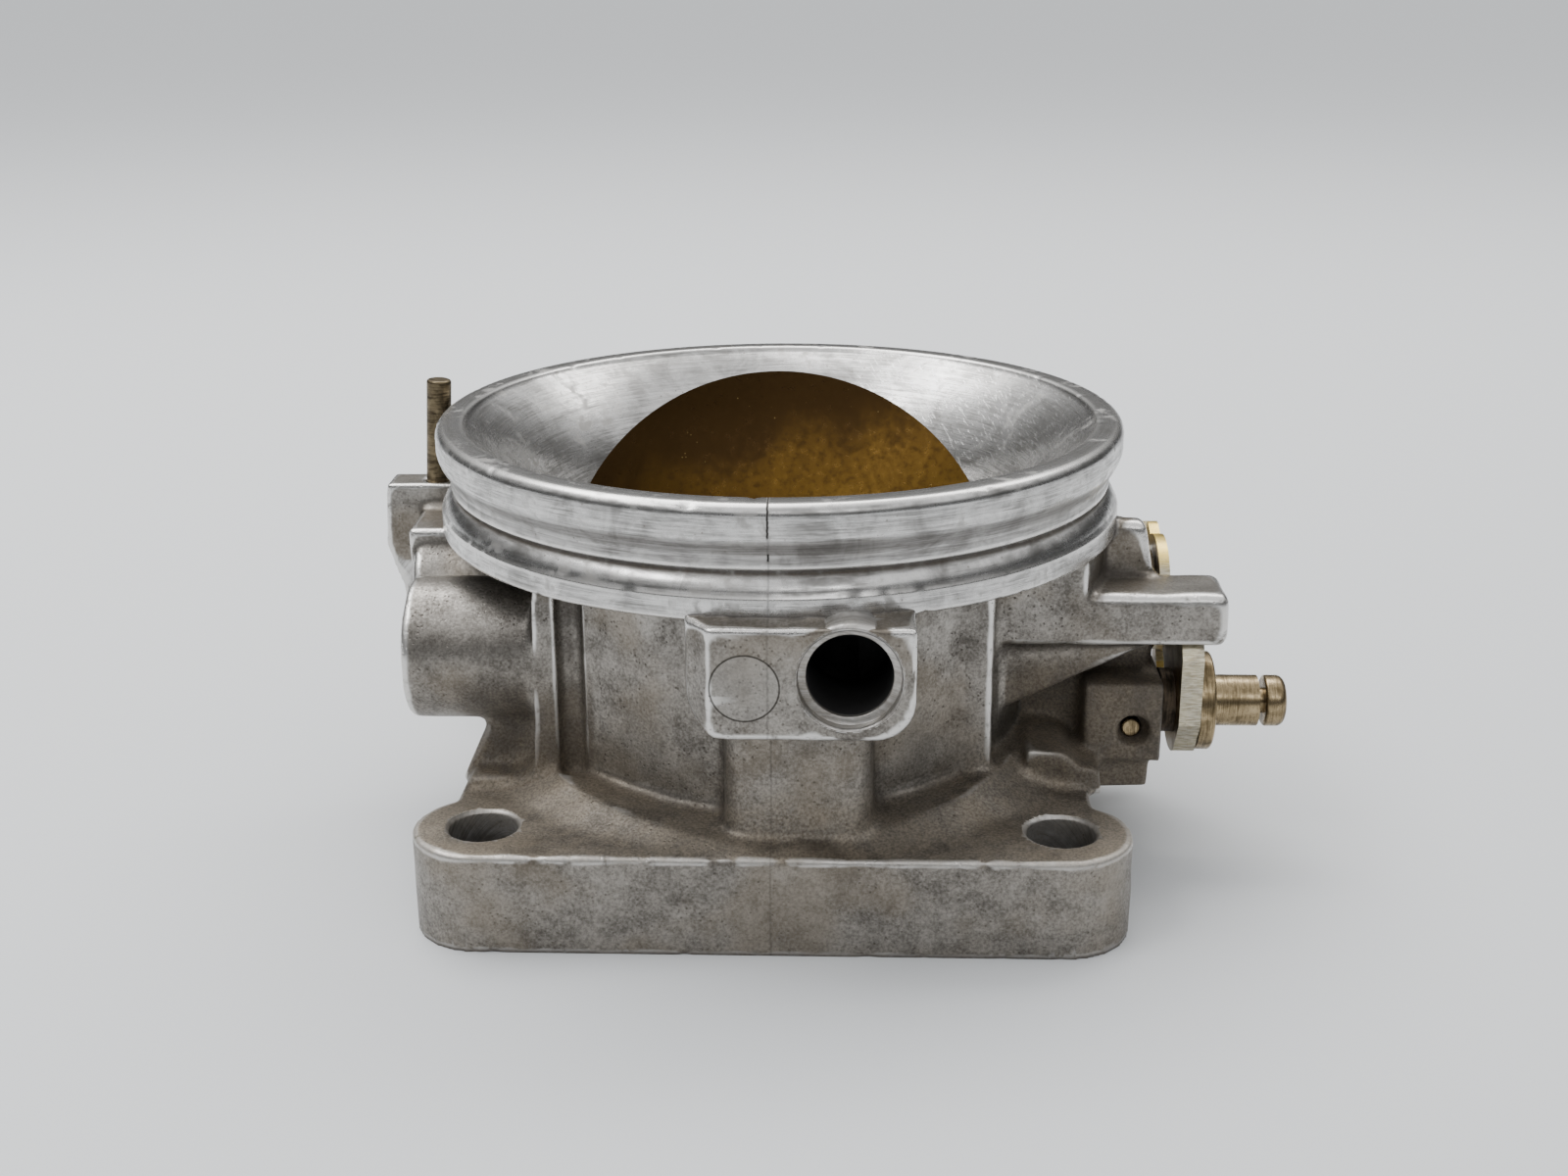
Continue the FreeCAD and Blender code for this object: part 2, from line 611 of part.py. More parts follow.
def roller_centre():
    """The roller's place when wide open, as bound text."""
    return ("roller_reach * cos( roller_angle * 1 deg )",
            "shaft_height + roller_reach * sin( roller_angle * 1 deg )")


def roller_stud():
    """A shouldered rivet in the throttle lever that carries the roller."""
    stem = rod("stud_stem", "x", roller_centre(), ("lever_inner", "relay_outer + 0.1"), "1.48")
    head = rounded("stud_head", rod("stud_cap", "x", roller_centre(),
                                    ("relay_outer + 0.1", "relay_outer + 1"), "2.05"),
                   0.35, lambda p, e: p.x > number("relay_outer + 0.9"))
    keep("roller_stud", fuse("stud_fused", [stem, head]))


def guide_roller():
    tyre = rod("roller_tyre", "x", roller_centre(), ("lever_outer + 0.1", "relay_outer"),
               "roller_radius")
    eye = rod("roller_eye", "x", roller_centre(), ("lever_outer", "relay_outer + 1"), "1.5")
    keep("guide_roller", cut("roller_cut", tyre, [eye]))


# ---- relay: axle, lever and their fittings ---------------------------------------------------

RELAY_RATIO = -0.5
SLOT_CLEARANCE = 0.12


def guide_path(steps=9):
    """The roller's centre as the relay lever sees it, wide open to closed: the curve that
    turns the two levers in a constant ratio."""
    shaft = Vector(0, 0, number("shaft_height"))
    axle = Vector(0, -number("relay_depth"), number("relay_height"))
    points = []
    for i in range(-1, steps + 1):
        throttle = -number("travel_angle") * i / (steps - 1)
        around = math.radians(number("roller_angle") + throttle)
        reach = number("roller_reach")
        roller = shaft + Vector(0, math.cos(around), math.sin(around)) * reach
        undo = Rotation(Vector(1, 0, 0), -RELAY_RATIO * throttle)
        points.append(axle + undo.multVec(roller - axle))
    return points


def guide_slot():
    """The guide path widened to the roller, as a cutter through the relay lever: a round at
    each step of the path and a straight-sided block from each step to the next."""
    half = number("roller_radius") + SLOT_CLEARANCE
    start = number("relay_inner") - 1
    depth = Vector(number("relay_outer") + 1 - start, 0, 0)
    along_x = Vector(1, 0, 0)
    path = [Vector(start, p.y, p.z) for p in guide_path()]
    pieces = [Part.makeCylinder(half, depth.x, p, along_x) for p in path]
    for first, second in zip(path, path[1:]):
        across = along_x.cross(second - first).normalize() * half
        corners = [first + across, second + across, second - across, first - across]
        pieces.append(Part.Face(Part.makePolygon(corners + corners[:1])).extrude(depth))
    tool = DOC.addObject("Part::Feature", "guide_slot")
    tool.Shape = pieces[0].multiFuse(pieces[1:]).removeSplitter()
    return tool


def relay_lever():
    """A thick plate that turns on the fixed axle: a cropped nose at the front, which meets the
    underside of the stop bar, and behind it the arm with the guide slot."""
    plate = slab("relay_plate", "x", ("relay_inner", "relay_outer"), [
        ("-21", "23"), ("-17.2", "17.4", "8.2"), ("-8.6", "17.2"), ("-3.5", "18.4"),
        ("1.5", "20", "6"), ("8", "27", "9"), ("9.2", "33.2", "5"), ("3.4", "35.8", "5.5"),
        ("-1.2", "31.8"), ("-7", "32.5", "-20"), ("-14", "36"), ("-19.6", "35.9"), ("-21", "33.6"),
    ])
    eye = rod("relay_eye", "x", relay_centre(), ("relay_inner - 1", "relay_outer + 1"),
              "axle_radius + 2")
    keep("relay_lever", cut("relay_cut", plate, [guide_slot(), eye]))


def relay_centre():
    return ("-1 * relay_depth", "relay_height")


def relay_axle():
    """Fixed in its boss by the cross dowel; the lever turns on its shoulder, behind a flange,
    and its free end is a grooved stub for the next link."""
    centre = relay_centre()
    parts = [
        rod("axle_journal", "x", centre, ("49", "boss_end + 0.1"), "axle_radius - 0.01"),
        rod("axle_shoulder", "x", centre, ("boss_end + 0.1", "relay_outer + 0.1"), "axle_radius + 1"),
        rounded("axle_flange", rod("axle_flange_disc", "x", centre,
                                   ("relay_outer + 0.1", "relay_outer + 2.5"), "7.7"),
                0.5, lambda p, e: p.x > number("relay_outer + 2.4")),
        rod("axle_stub", "x", centre, ("relay_outer + 2", "74.8"), "stub_radius"),
        rod("axle_neck", "x", centre, ("74.4", "76.4"), "stub_radius - 2"),
        rounded("axle_head", rounded("axle_head_inner",
                                     rod("axle_head_disc", "x", centre, ("75.8", "79.1"), "stub_radius"),
                                     1.3, lambda p, e: p.x > 79),
                0.5, lambda p, e: p.x < 76),
    ]
    groove = cut("dowel_groove", rod("dowel_groove_outer", "x", centre, ("53.5", "56.7"), "5"),
                 [rod("dowel_groove_inner", "x", centre, ("53", "57"), "1.75")])
    keep("relay_axle", cut("axle_cut", fuse("axle_fused", parts), [groove]))


def ring(node, axis, centre, span, outer, inner):
    tyre = rod(node + "_outer", axis, centre, span, outer)
    hole = rod(node + "_inner", axis, centre,
               (span[0] + " - 1", span[1] + " + 1"), inner)
    keep(node, cut(node + "_cut", tyre, [hole]))


def small_fittings():
    """Bushes, seals, clip, plugs, washer, dowel and post."""
    shaft = ("0", "shaft_height")
    ring("shaft_bush_left", "x", shaft, ("-48", "-37.5"), "bush_radius - 0.01",
         "shaft_radius + running_gap")
    ring("shaft_bush_right", "x", shaft, ("47.6", "59.2"), "bush_radius - 0.01",
         "shaft_radius + running_gap")
    ring("shaft_seal_left", "x", shaft, ("-51.6", "-48.3"), "bush_radius - 0.01",
         "shaft_radius + running_gap")
    ring("shaft_seal_right", "x", shaft, ("43.8", "47.3"), "bush_radius - 0.01",
         "shaft_radius + running_gap")
    ring("relay_bush", "x", relay_centre(), ("relay_inner + 0.05", "relay_outer - 0.05"),
         "axle_radius + 1.99", "axle_radius + 1 + running_gap")
    ring("relay_washer", "x", relay_centre(), ("boss_end + 0.2", "relay_inner - 0.05"), "5",
         "axle_radius + 1.02")
    dowel = rounded("dowel_round", rod("dowel_rod", "y", ("55.1", "dowel_height"),
                                       ("-16.9", "-7.2"), "1.48"),
                    0.3, lambda p, e: p.y < -16.5)
    keep("retaining_dowel", dowel)
    post = rounded("post_round", leaning_rod("post_rod", 45.4, 69.8, "1.99"),
                   0.5, lambda p, e: p.z > 69)
    keep("spring_post", post)
    cup = rod("end_plug_outer", "x", shaft, ("-57.6", "-56"), "7.29")
    dish = rod("end_plug_dish", "x", shaft, ("-58", "-56.8"), "6.2")
    keep("shaft_end_plug", cut("end_plug_cut", cup, [dish]))
    cup = rod("plain_plug_outer", "x", PLAIN_CENTRE, ("-55.1", "-52.7"), "6.49")
    dish = rod("plain_plug_dish", "x", PLAIN_CENTRE, ("-55.6", "-53.7"), "5.4")
    keep("boss_plug", cut("plain_plug_cut", cup, [dish]))


def shaft_clip():
    """An open retaining ring in the shaft's groove."""
    outer = rod("clip_outer", "x", ("0", "shaft_height"), ("-53.4", "-52.7"), "6.3")
    inner = rod("clip_inner", "x", ("0", "shaft_height"), ("-54", "-52"), "3.2")
    mouth = box("clip_mouth", ("-54", "-52"), ("-2.3", "2.3"),
                ("shaft_height - 8", "shaft_height - 1"))
    keep("shaft_clip", cut("clip_cut", outer, [inner, mouth]))


def hexagon(across_flats):
    reach = across_flats / math.sqrt(3)
    return [(reach * math.cos(math.radians(60 * i)), reach * math.sin(math.radians(60 * i)))
            for i in range(6)]


def stop_screw():
    """The closed-throttle stop: a slotted screw from below with a round tip, and its nut."""
    centre = STOP_CENTRE
    stem = rod("stop_stem", "z", centre, ("12", "29.79"), "1.98")
    tip = DOC.addObject("Part::Sphere", "stop_tip")
    tip.Radius = 1.98
    place(tip, centre[0], centre[1], "29.79")
    head = rounded("stop_head", rod("stop_cap", "z", centre, ("9.6", "12.4"), "3.4"),
                   0.4, lambda p, e: p.z < 10)
    across, along = centre
    slot = box("stop_slot", (across + " - 6", across + " + 6"),
               (along + " - 0.5", along + " + 0.5"), ("9", "10.8"))
    keep("stop_screw", cut("stop_screw_cut", fuse("stop_fused", [stem, tip, head]), [slot]))
    nut = slab("stop_nut_hex", "z", ("25.05", "28.2"),
               [(across + " + %.4f" % x, along + " + %.4f" % y) for x, y in hexagon(7.0)])
    bore = rod("stop_nut_bore", "z", centre, ("24", "30"), "2")
    keep("stop_screw_nut", cut("stop_nut_cut", nut, [bore]))


# ---- build, check and write ------------------------------------------------------------------

def check_document():
    DOC.recompute()
    bad = [o.Name for o in DOC.Objects if "Invalid" in o.State or "Error" in o.State]
    if bad:
        raise RuntimeError("failed features: " + ", ".join(bad))
    for node, shape in NODES.items():
        if shape.Shape.isNull() or not shape.Shape.isValid():
            raise RuntimeError("bad shape: " + node)


def main():
    fill_sheet()
    housing()
    throttle_plate()
    throttle_shaft()
    plate_screws()
    throttle_lever()
    roller_stud()
    guide_roller()
    relay_lever()
    relay_axle()
    small_fittings()
    shaft_clip()
    stop_screw()
    check_document()
    os.makedirs("parts", exist_ok=True)
    for node, shape in NODES.items():
        shape.Shape.exportStep("parts/" + node + ".step")
        print("%-20s %9.1f mm3, %d solid(s)" % (node, shape.Shape.Volume, len(shape.Shape.Solids)))


main()
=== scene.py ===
"""Looks of the throttle body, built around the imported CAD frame."""
import bpy
import math
import numpy as np
from mathutils import Matrix, Vector


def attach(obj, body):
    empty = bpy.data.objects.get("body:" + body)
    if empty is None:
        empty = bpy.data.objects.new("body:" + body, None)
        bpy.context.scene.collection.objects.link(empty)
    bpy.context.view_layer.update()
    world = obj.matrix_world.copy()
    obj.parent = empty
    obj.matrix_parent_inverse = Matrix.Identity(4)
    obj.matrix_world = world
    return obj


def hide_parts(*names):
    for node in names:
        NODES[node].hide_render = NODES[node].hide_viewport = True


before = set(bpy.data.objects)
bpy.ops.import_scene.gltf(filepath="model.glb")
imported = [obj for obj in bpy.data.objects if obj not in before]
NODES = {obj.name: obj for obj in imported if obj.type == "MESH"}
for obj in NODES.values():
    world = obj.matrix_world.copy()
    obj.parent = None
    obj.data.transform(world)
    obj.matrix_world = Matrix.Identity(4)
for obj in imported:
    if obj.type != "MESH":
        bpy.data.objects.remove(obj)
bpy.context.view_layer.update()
MM = 0.001

# the casting's sizes, in millimetres
BOLTS = [(sx * 42.0, sy * 42.0) for sx in (-1, 1) for sy in (-1, 1)]
BOLT_RADIUS = 5.05
FLANGE_TOP = 15.2
FLANGE_FRONT = 52.3
THROAT_RADIUS = 35.0
BELL_START = 44.0
RIM_LOW = 50.7
LIP_TOP = 67.3
PORT = (11.3, 44.2)
PORT_RADIUS = 5.9
SEAT_RADIUS = 7.0
SEAT_FLOOR = -55.4
SHAFT_HEIGHT = 37.7
PIN_MARK = (-2.8, 43.0)
PASSAGE = (9.6, -42.0)
LEFT_POCKET = (-18.0, 34.1)

# how fine the casting's copy is remeshed, in millimetres, and its triangles once thinned
VOXEL = 0.42
TRIANGLES = 198000
# point attributes that the casting's material reads
MARKS = ("machined", "wear_and_highlight", "painted_shade", "stain", "soot_and_shade")


# ---- camera, floor and light ---------------------------------------------------------------

def camera():
    """The photo's view, fitted to the mouth's inner edge, the front bolt holes, the plate's
    edge and the flange's front edges; its height assumes a square bolt pattern."""
    pitch, yaw, roll = (math.radians(a) for a in (18.77, -2.03, -0.27))
    place = (0.0111, -0.2970, 0.1388)
    forward = Vector((math.sin(yaw) * math.cos(pitch), math.cos(yaw) * math.cos(pitch),
                      -math.sin(pitch)))
    level = Vector((math.cos(yaw), -math.sin(yaw), 0))
    above = level.cross(forward)
    right = level * math.cos(roll) + above * math.sin(roll)
    up = above * math.cos(roll) - level * math.sin(roll)
    data = bpy.data.cameras.new("camera")
    data.sensor_width = 36
    data.lens = 44.48
    data.clip_start = 0.01
    data.clip_end = 50
    ob = bpy.data.objects.new("camera", data)
    ob.matrix_world = Matrix.Translation(place) @ Matrix(
        (right, up, -forward)).transposed().to_4x4()
    bpy.context.collection.objects.link(ob)
    bpy.context.scene.camera = ob


def area_light(name, place, target, size, power, tint=(1, 1, 1)):
    data = bpy.data.lights.new(name, "AREA")
    data.shape = "RECTANGLE"
    data.size, data.size_y = size
    data.energy = power
    data.color = tint
    ob = bpy.data.objects.new(name, data)
    ob.location = place
    ob.rotation_euler = (Vector(target) - Vector(place)).to_track_quat("-Z", "Y").to_euler()
    bpy.context.collection.objects.link(ob)


def pale_floor():
    far = 14.0
    mesh = bpy.data.meshes.new("floor")
    mesh.from_pydata([(-far, -far, 0), (far, -far, 0), (far, far, 0), (-far, far, 0)], [],
                     [(0, 1, 2, 3)])
    floor = bpy.data.objects.new("floor", mesh)
    bpy.context.collection.objects.link(floor)
    kit = Shader("floor_paint")
    kit.set(base=(0.66, 0.675, 0.69), roughness=0.8, specular=0.1)
    mesh.materials.append(kit.material)


def sky():
    """Bright overhead and dark near the horizon for the metal to reflect, and pale where the
    camera looks straight at it."""
    world = bpy.data.worlds.new("studio")
    bpy.context.scene.world = world
    world.use_nodes = True
    tree = world.node_tree
    background = tree.nodes["Background"]
    direction = tree.nodes.new("ShaderNodeTexCoord")
    parts = tree.nodes.new("ShaderNodeSeparateXYZ")
    ramp = tree.nodes.new("ShaderNodeValToRGB")
    ramp.color_ramp.elements[0].position = 0.0
    ramp.color_ramp.elements[0].color = (0.045, 0.046, 0.048, 1)
    ramp.color_ramp.elements[1].position = 1.0
    ramp.color_ramp.elements[1].color = (1.9, 1.92, 1.95, 1)
    for position, value in ((0.24, 0.06), (0.42, 0.42), (0.60, 1.75)):
        stop = ramp.color_ramp.elements.new(position)
        stop.color = (value, value * 1.01, value * 1.02, 1)
    rays = tree.nodes.new("ShaderNodeLightPath")
    seen = tree.nodes.new("ShaderNodeMix")
    seen.data_type = "RGBA"
    seen.inputs[7].default_value = (0.80, 0.81, 0.83, 1)
    tree.links.new(direction.outputs["Generated"], parts.inputs[0])
    tree.links.new(parts.outputs[2], ramp.inputs[0])
    tree.links.new(rays.outputs["Is Camera Ray"], seen.inputs[0])
    tree.links.new(ramp.outputs[0], seen.inputs[6])
    tree.links.new(seen.outputs[2], background.inputs["Color"])
    background.inputs["Strength"].default_value = 0.60


def lights():
    """A soft sun and three lamps; the strips point straight down, so they leave no hard edge
    of light on the floor."""
    data = bpy.data.lights.new("overhead", "SUN")
    data.energy = 0.9
    data.angle = math.radians(35)
    overhead = bpy.data.objects.new("overhead", data)
    overhead.rotation_euler = (math.radians(-14), math.radians(-12), 0)
    bpy.context.collection.objects.link(overhead)
    area_light("strip_left", (-0.45, -0.05, 0.75), (-0.45, -0.05, 0), (0.25, 0.8), 4.5)
    area_light("strip_back", (0.1, 0.42, 0.75), (0.1, 0.42, 0), (1.1, 0.3), 5.5, (1, 0.99, 0.97))
    area_light("front", (0.25, -0.85, 0.65), (0, 0, 0.03), (0.5, 0.2), 0.8, (0.98, 0.99, 1))


# ---- shader kit ----------------------------------------------------------------------------

class Shader:
    """A Principled material with short names for the nodes that feed it."""

    def __init__(self, name):
        self.material = bpy.data.materials.new(name)
        self.material.use_nodes = True
        self.tree = self.material.node_tree
        self.shader = self.tree.nodes["Principled BSDF"]

    def join(self, source, socket):
        if isinstance(source, (int, float)):
            socket.default_value = source
        elif isinstance(source, tuple):
            socket.default_value = source + (1,) if len(socket.default_value) == 4 else source
        else:
            self.tree.links.new(source, socket)

    def set(self, **values):
        names = {"base": "Base Color", "roughness": "Roughness", "metallic": "Metallic",
                 "normal": "Normal", "specular": "Specular IOR Level"}
        for name, value in values.items():
            self.join(value, self.shader.inputs[names[name]])

    def node(self, kind, **settings):
        node = self.tree.nodes.new(kind)
        for name, value in settings.items():
            setattr(node, name, value)
        return node

    def math(self, operation, a, b=0.0):
        node = self.node("ShaderNodeMath", operation=operation)
        self.join(a, node.inputs[0])
        self.join(b, node.inputs[1])
        return node.outputs[0]

    def add(self, a, b):
        return self.math("ADD", a, b)

    def times(self, a, b):
        return self.math("MULTIPLY", a, b)

    def fade(self, value, low, high, out_low=0.0, out_high=1.0):
        node = self.node("ShaderNodeMapRange", interpolation_type="SMOOTHSTEP")
        for socket, source in zip(node.inputs, (value, low, high, out_low, out_high)):
            self.join(source, socket)
        return node.outputs[0]

    def mix(self, factor, a, b):
        node = self.node("ShaderNodeMix", data_type="RGBA")
        self.join(factor, node.inputs[0])
        self.join(a, node.inputs[6])
        self.join(b, node.inputs[7])
        return node.outputs[2]

    def blend(self, factor, a, b):
        node = self.node("ShaderNodeMix", data_type="FLOAT")
        self.join(factor, node.inputs[0])
        self.join(a, node.inputs[2])
        self.join(b, node.inputs[3])
        return node.outputs[0]

    def place(self):
        """Object coordinates in millimetres."""
        node = self.node("ShaderNodeVectorMath", operation="SCALE")
        self.join(self.node("ShaderNodeTexCoord").outputs["Object"], node.inputs[0])
        node.inputs["Scale"].default_value = 1000.0
        return node.outputs[0]

    def scaled(self, vector, scale):
        node = self.node("ShaderNodeMapping")
        self.join(vector, node.inputs["Vector"])
        node.inputs["Scale"].default_value = scale
        return node.outputs[0]

    def split(self, vector):
        node = self.node("ShaderNodeSeparateXYZ")
        self.join(vector, node.inputs[0])
        return node.outputs

    def merge(self, x, y, z):
        node = self.node("ShaderNodeCombineXYZ")
        for socket, source in zip(node.inputs, (x, y, z)):
            self.join(source, socket)
        return node.outputs[0]

    def noise(self, vector, size, detail=3.0, roughness=0.55, distortion=0.0):
        """Noise whose blobs are about size millimetres across."""
        node = self.node("ShaderNodeTexNoise")
        self.join(vector, node.inputs["Vector"])
        node.inputs["Scale"].default_value = 1.0 / size
        node.inputs["Detail"].default_value = detail
        node.inputs["Roughness"].default_value = roughness
        node.inputs["Distortion"].default_value = distortion
        return node.outputs["Fac"]

    def cells(self, vector, size):
        node = self.node("ShaderNodeTexVoronoi")
        self.join(vector, node.inputs["Vector"])
        node.inputs["Scale"].default_value = 1.0 / size
        return node.outputs["Distance"]

    def mark(self, name):
        return self.node("ShaderNodeAttribute", attribute_name=name).outputs["Fac"]

    def bump(self, height, depth, strength):
        """A height from 0 to 1, depth in millimetres."""
        node = self.node("ShaderNodeBump")
        node.inputs["Strength"].default_value = strength
        node.inputs["Distance"].default_value = depth * MM
        self.join(height, node.inputs["Height"])
        return node.outputs[0]

    def ring_place(self, vector, stretch):
        """Coordinates for turned marks: fine along the profile and long round the axis."""
        x, y, z = self.split(vector)
        far = self.math("SQRT", self.add(self.times(x, x), self.times(y, y)))
        safe = self.math("MAXIMUM", far, 0.01)
        return self.merge(self.times(self.math("DIVIDE", x, safe), stretch),
                          self.times(self.math("DIVIDE", y, safe), stretch),
                          self.add(far, self.times(z, 0.83)))

    def near(self, value, centre, half, soft):
        """1 within half of centre, fading to 0 over soft."""
        off = self.math("ABSOLUTE", self.math("SUBTRACT", value, centre))
        return self.fade(off, half, half + soft, 1.0, 0.0)

    def distance(self, a, b, centre):
        """Distance in a plane from a centre."""
        da = self.math("SUBTRACT", a, centre[0])
        db = self.math("SUBTRACT", b, centre[1])
        return self.math("SQRT", self.add(self.times(da, da), self.times(db, db)))


# ---- materials -----------------------------------------------------------------------------

# size of the Y and Z parts of the plate's normal when it stands open
PLATE_NORMAL = (0.9945, 0.1045)


def cast_skin(kit, place):
    """Tone, roughness and height of the sand-cast skin."""
    broad = kit.noise(place, 11.0, 4.0, 0.6, 0.6)
    middle = kit.noise(place, 2.6, 5.0, 0.65, 0.3)
    fine = kit.noise(place, 0.42, 3.0, 0.65)
    skin = kit.add(kit.times(broad, 0.36), kit.add(kit.times(middle, 0.28), kit.times(fine, 0.36)))
    tone = kit.mix(kit.fade(skin, 0.34, 0.66), (0.11, 0.10, 0.088), (0.37, 0.35, 0.32))
    warm = kit.fade(kit.noise(place, 15.0, 3.0, 0.5), 0.45, 0.65)
    tone = kit.mix(kit.times(warm, 0.45), tone, (0.21, 0.175, 0.13))
    pits = kit.times(kit.fade(kit.cells(place, 0.8), 0.10, 0.28, 1.0, 0.0),
                     kit.fade(kit.noise(place, 4.0, 3.0), 0.44, 0.6))
    tone = kit.mix(kit.times(pits, 0.6), tone, (0.07, 0.06, 0.05))
    height = kit.add(kit.times(fine, 0.4), kit.add(kit.times(middle, 1.3), kit.times(pits, -0.8)))
    return tone, kit.fade(skin, 0.35, 0.65, 0.48, 0.30), height, broad, middle, fine


def turned_skin(kit, place):
    """Tone, roughness and height of the turned surfaces: rings, clouding, spots, scratches."""
    x, y, z = kit.split(place)
    turned = kit.ring_place(place, 1.6)
    lines = kit.noise(turned, 0.13, 2.0, 0.7)
    coarse = kit.noise(turned, 0.55, 3.0, 0.6)
    cloud = kit.noise(place, 8.0, 5.0, 0.65, 0.6)
    patches = kit.noise(place, 2.0, 4.0, 0.6)
    metal = kit.add(kit.times(lines, 0.26),
                    kit.add(kit.times(coarse, 0.26), kit.times(cloud, 0.48)))
    tone = kit.mix(kit.fade(metal, 0.38, 0.60), (0.23, 0.223, 0.213), (0.68, 0.67, 0.655))
    darkened = kit.times(kit.fade(cloud, 0.52, 0.66), kit.fade(patches, 0.4, 0.6))
    tone = kit.mix(kit.times(darkened, 0.5), tone, (0.17, 0.155, 0.135))
    spots = kit.times(kit.fade(kit.cells(place, 1.3), 0.05, 0.17, 1.0, 0.0),
                      kit.fade(kit.noise(place, 6.0, 2.0), 0.48, 0.6))
    tone = kit.mix(kit.times(spots, 0.65), tone, (0.14, 0.115, 0.09))
    slanted = kit.node("ShaderNodeVectorRotate", rotation_type="Y_AXIS")
    kit.join(place, slanted.inputs["Vector"])
    slanted.inputs["Angle"].default_value = math.radians(38)
    scratch = kit.noise(kit.scaled(slanted.outputs[0], (3.2, 0.5, 0.12)), 1.0, 2.0, 0.6)
    scratch = kit.fade(scratch, 0.60, 0.66)
    inside = kit.times(kit.fade(kit.distance(x, y, (0, 0)), 49.0, 49.4, 1.0, 0.0),
                       kit.fade(x, 6.0, 18.0))
    scratch = kit.times(scratch, kit.times(inside, kit.fade(z, 46, 50)))
    tone = kit.mix(kit.times(scratch, 0.6), tone, (0.88, 0.87, 0.86))
    rough = kit.fade(metal, 0.35, 0.65, 0.34, 0.19)
    height = kit.add(kit.times(lines, 0.8),
                     kit.add(kit.times(coarse, 0.5), kit.times(scratch, -0.8)))
    return tone, kit.blend(darkened, rough, 0.5), height


def seam_marks(kit, place):
    """The mould seam down the front, its crack in the turned ring, and the pin's round mark."""
    x, y, z = kit.split(place)
    drift = kit.noise(kit.scaled(place, (0, 0, 1)), 1.2, 3.0)
    wobble = kit.times(kit.math("SUBTRACT", drift, 0.5), 0.55)
    line = kit.near(kit.add(x, wobble), 0.3, 0.08, 0.14)
    front = kit.fade(y, -44, -43, 1.0, 0.0)
    crack = kit.math("MAXIMUM", kit.fade(z, 62.4, 63.0), kit.near(z, 59.6, 0.45, 0.3))
    crack = kit.math("MAXIMUM", crack, 0.25)
    seam = kit.times(kit.times(line, front), crack)
    ring = kit.near(kit.distance(x, z, PIN_MARK), 4.7, 0.07, 0.12)
    disc = kit.fade(kit.distance(x, z, PIN_MARK), 4.6, 4.7, 1.0, 0.0)
    face = kit.fade(y, -56.7, -56.5, 1.0, 0.0)
    return seam, kit.times(ring, face), kit.times(disc, face)


def cast_aluminium():
    """Sand-cast skin, stained and worn, with painted highlights on its edges and painted shade in
    its hollows, and turned surfaces, told apart by attributes.
    """
    kit = Shader("cast_aluminium")
    place = kit.place()
    machined, wear_and_highlight, painted_shade, stain, soot_and_shade = (kit.mark(name) for name in MARKS)
    skin_tone, skin_rough, skin_height, broad, middle, fine = cast_skin(kit, place)
    metal_tone, metal_rough, metal_height = turned_skin(kit, place)
    seam, pin_ring, pin_disc = seam_marks(kit, place)

    tone = kit.mix(machined, skin_tone, metal_tone)
    tone = kit.mix(kit.times(pin_disc, 0.35), tone, (0.36, 0.345, 0.32))
    # pale rubbed edges: partly real wear, partly a painted highlight along the edges
    rubbed_and_highlit = kit.times(kit.fade(wear_and_highlight, 0.15, 0.75), kit.fade(middle, 0.26, 0.48))
    tone = kit.mix(kit.times(rubbed_and_highlit, 0.9), tone, (0.74, 0.725, 0.70))
    # painted shade from the hollows, corners and floor-contact mark, mottled by the skin's noise
    dark = kit.times(kit.fade(painted_shade, 0.08, 0.8), kit.fade(middle, 0.2, 0.5, 0.55, 1.0))
    tone = kit.mix(kit.times(dark, 0.88), tone, (0.065, 0.054, 0.044))
    brown = kit.times(stain, kit.fade(kit.add(kit.times(broad, 0.5), kit.times(middle, 0.5)),
                                      0.38, 0.58, 0.35, 1.0))
    sandy = kit.mix(kit.fade(fine, 0.3, 0.7), (0.11, 0.085, 0.055), (0.27, 0.22, 0.155))
    tone = kit.mix(kit.times(brown, 0.66), tone, sandy)
    tone = kit.mix(kit.math("MAXIMUM", seam, kit.times(pin_ring, 0.8)), tone, (0.02, 0.017, 0.014))
    # near black where the soot mark is set: soot, and painted shade deep in the port, the passage
    # and the holes
    tone = kit.mix(kit.times(soot_and_shade, 0.97), tone, (0.010, 0.010, 0.011))

    # less metallic and rougher where painted shade, brown stain, soot and the seam darken the
    # casting
    dark_and_dull = kit.math("MAXIMUM", kit.times(dark, 0.8), kit.times(brown, 0.45))
    dark_and_dull = kit.math("MAXIMUM", dark_and_dull, kit.math("MAXIMUM", soot_and_shade, seam))
    metallic = kit.math("SUBTRACT", 0.93, kit.times(dark_and_dull, 0.8))
    rough = kit.blend(machined, skin_rough, metal_rough)
    rough = kit.blend(rubbed_and_highlit, rough, 0.27)
    rough = kit.blend(dark_and_dull, rough, 0.72)

    skin_normal = kit.bump(skin_height, 0.085, 0.8)
    metal_normal = kit.bump(metal_height, 0.02, 0.55)
    normal = kit.node("ShaderNodeMix", data_type="VECTOR")
    kit.join(machined, normal.inputs[0])
    kit.join(skin_normal, normal.inputs[4])
    kit.join(metal_normal, normal.inputs[5])
    kit.set(base=tone, roughness=rough, metallic=metallic, normal=normal.outputs[1])
    return kit.material


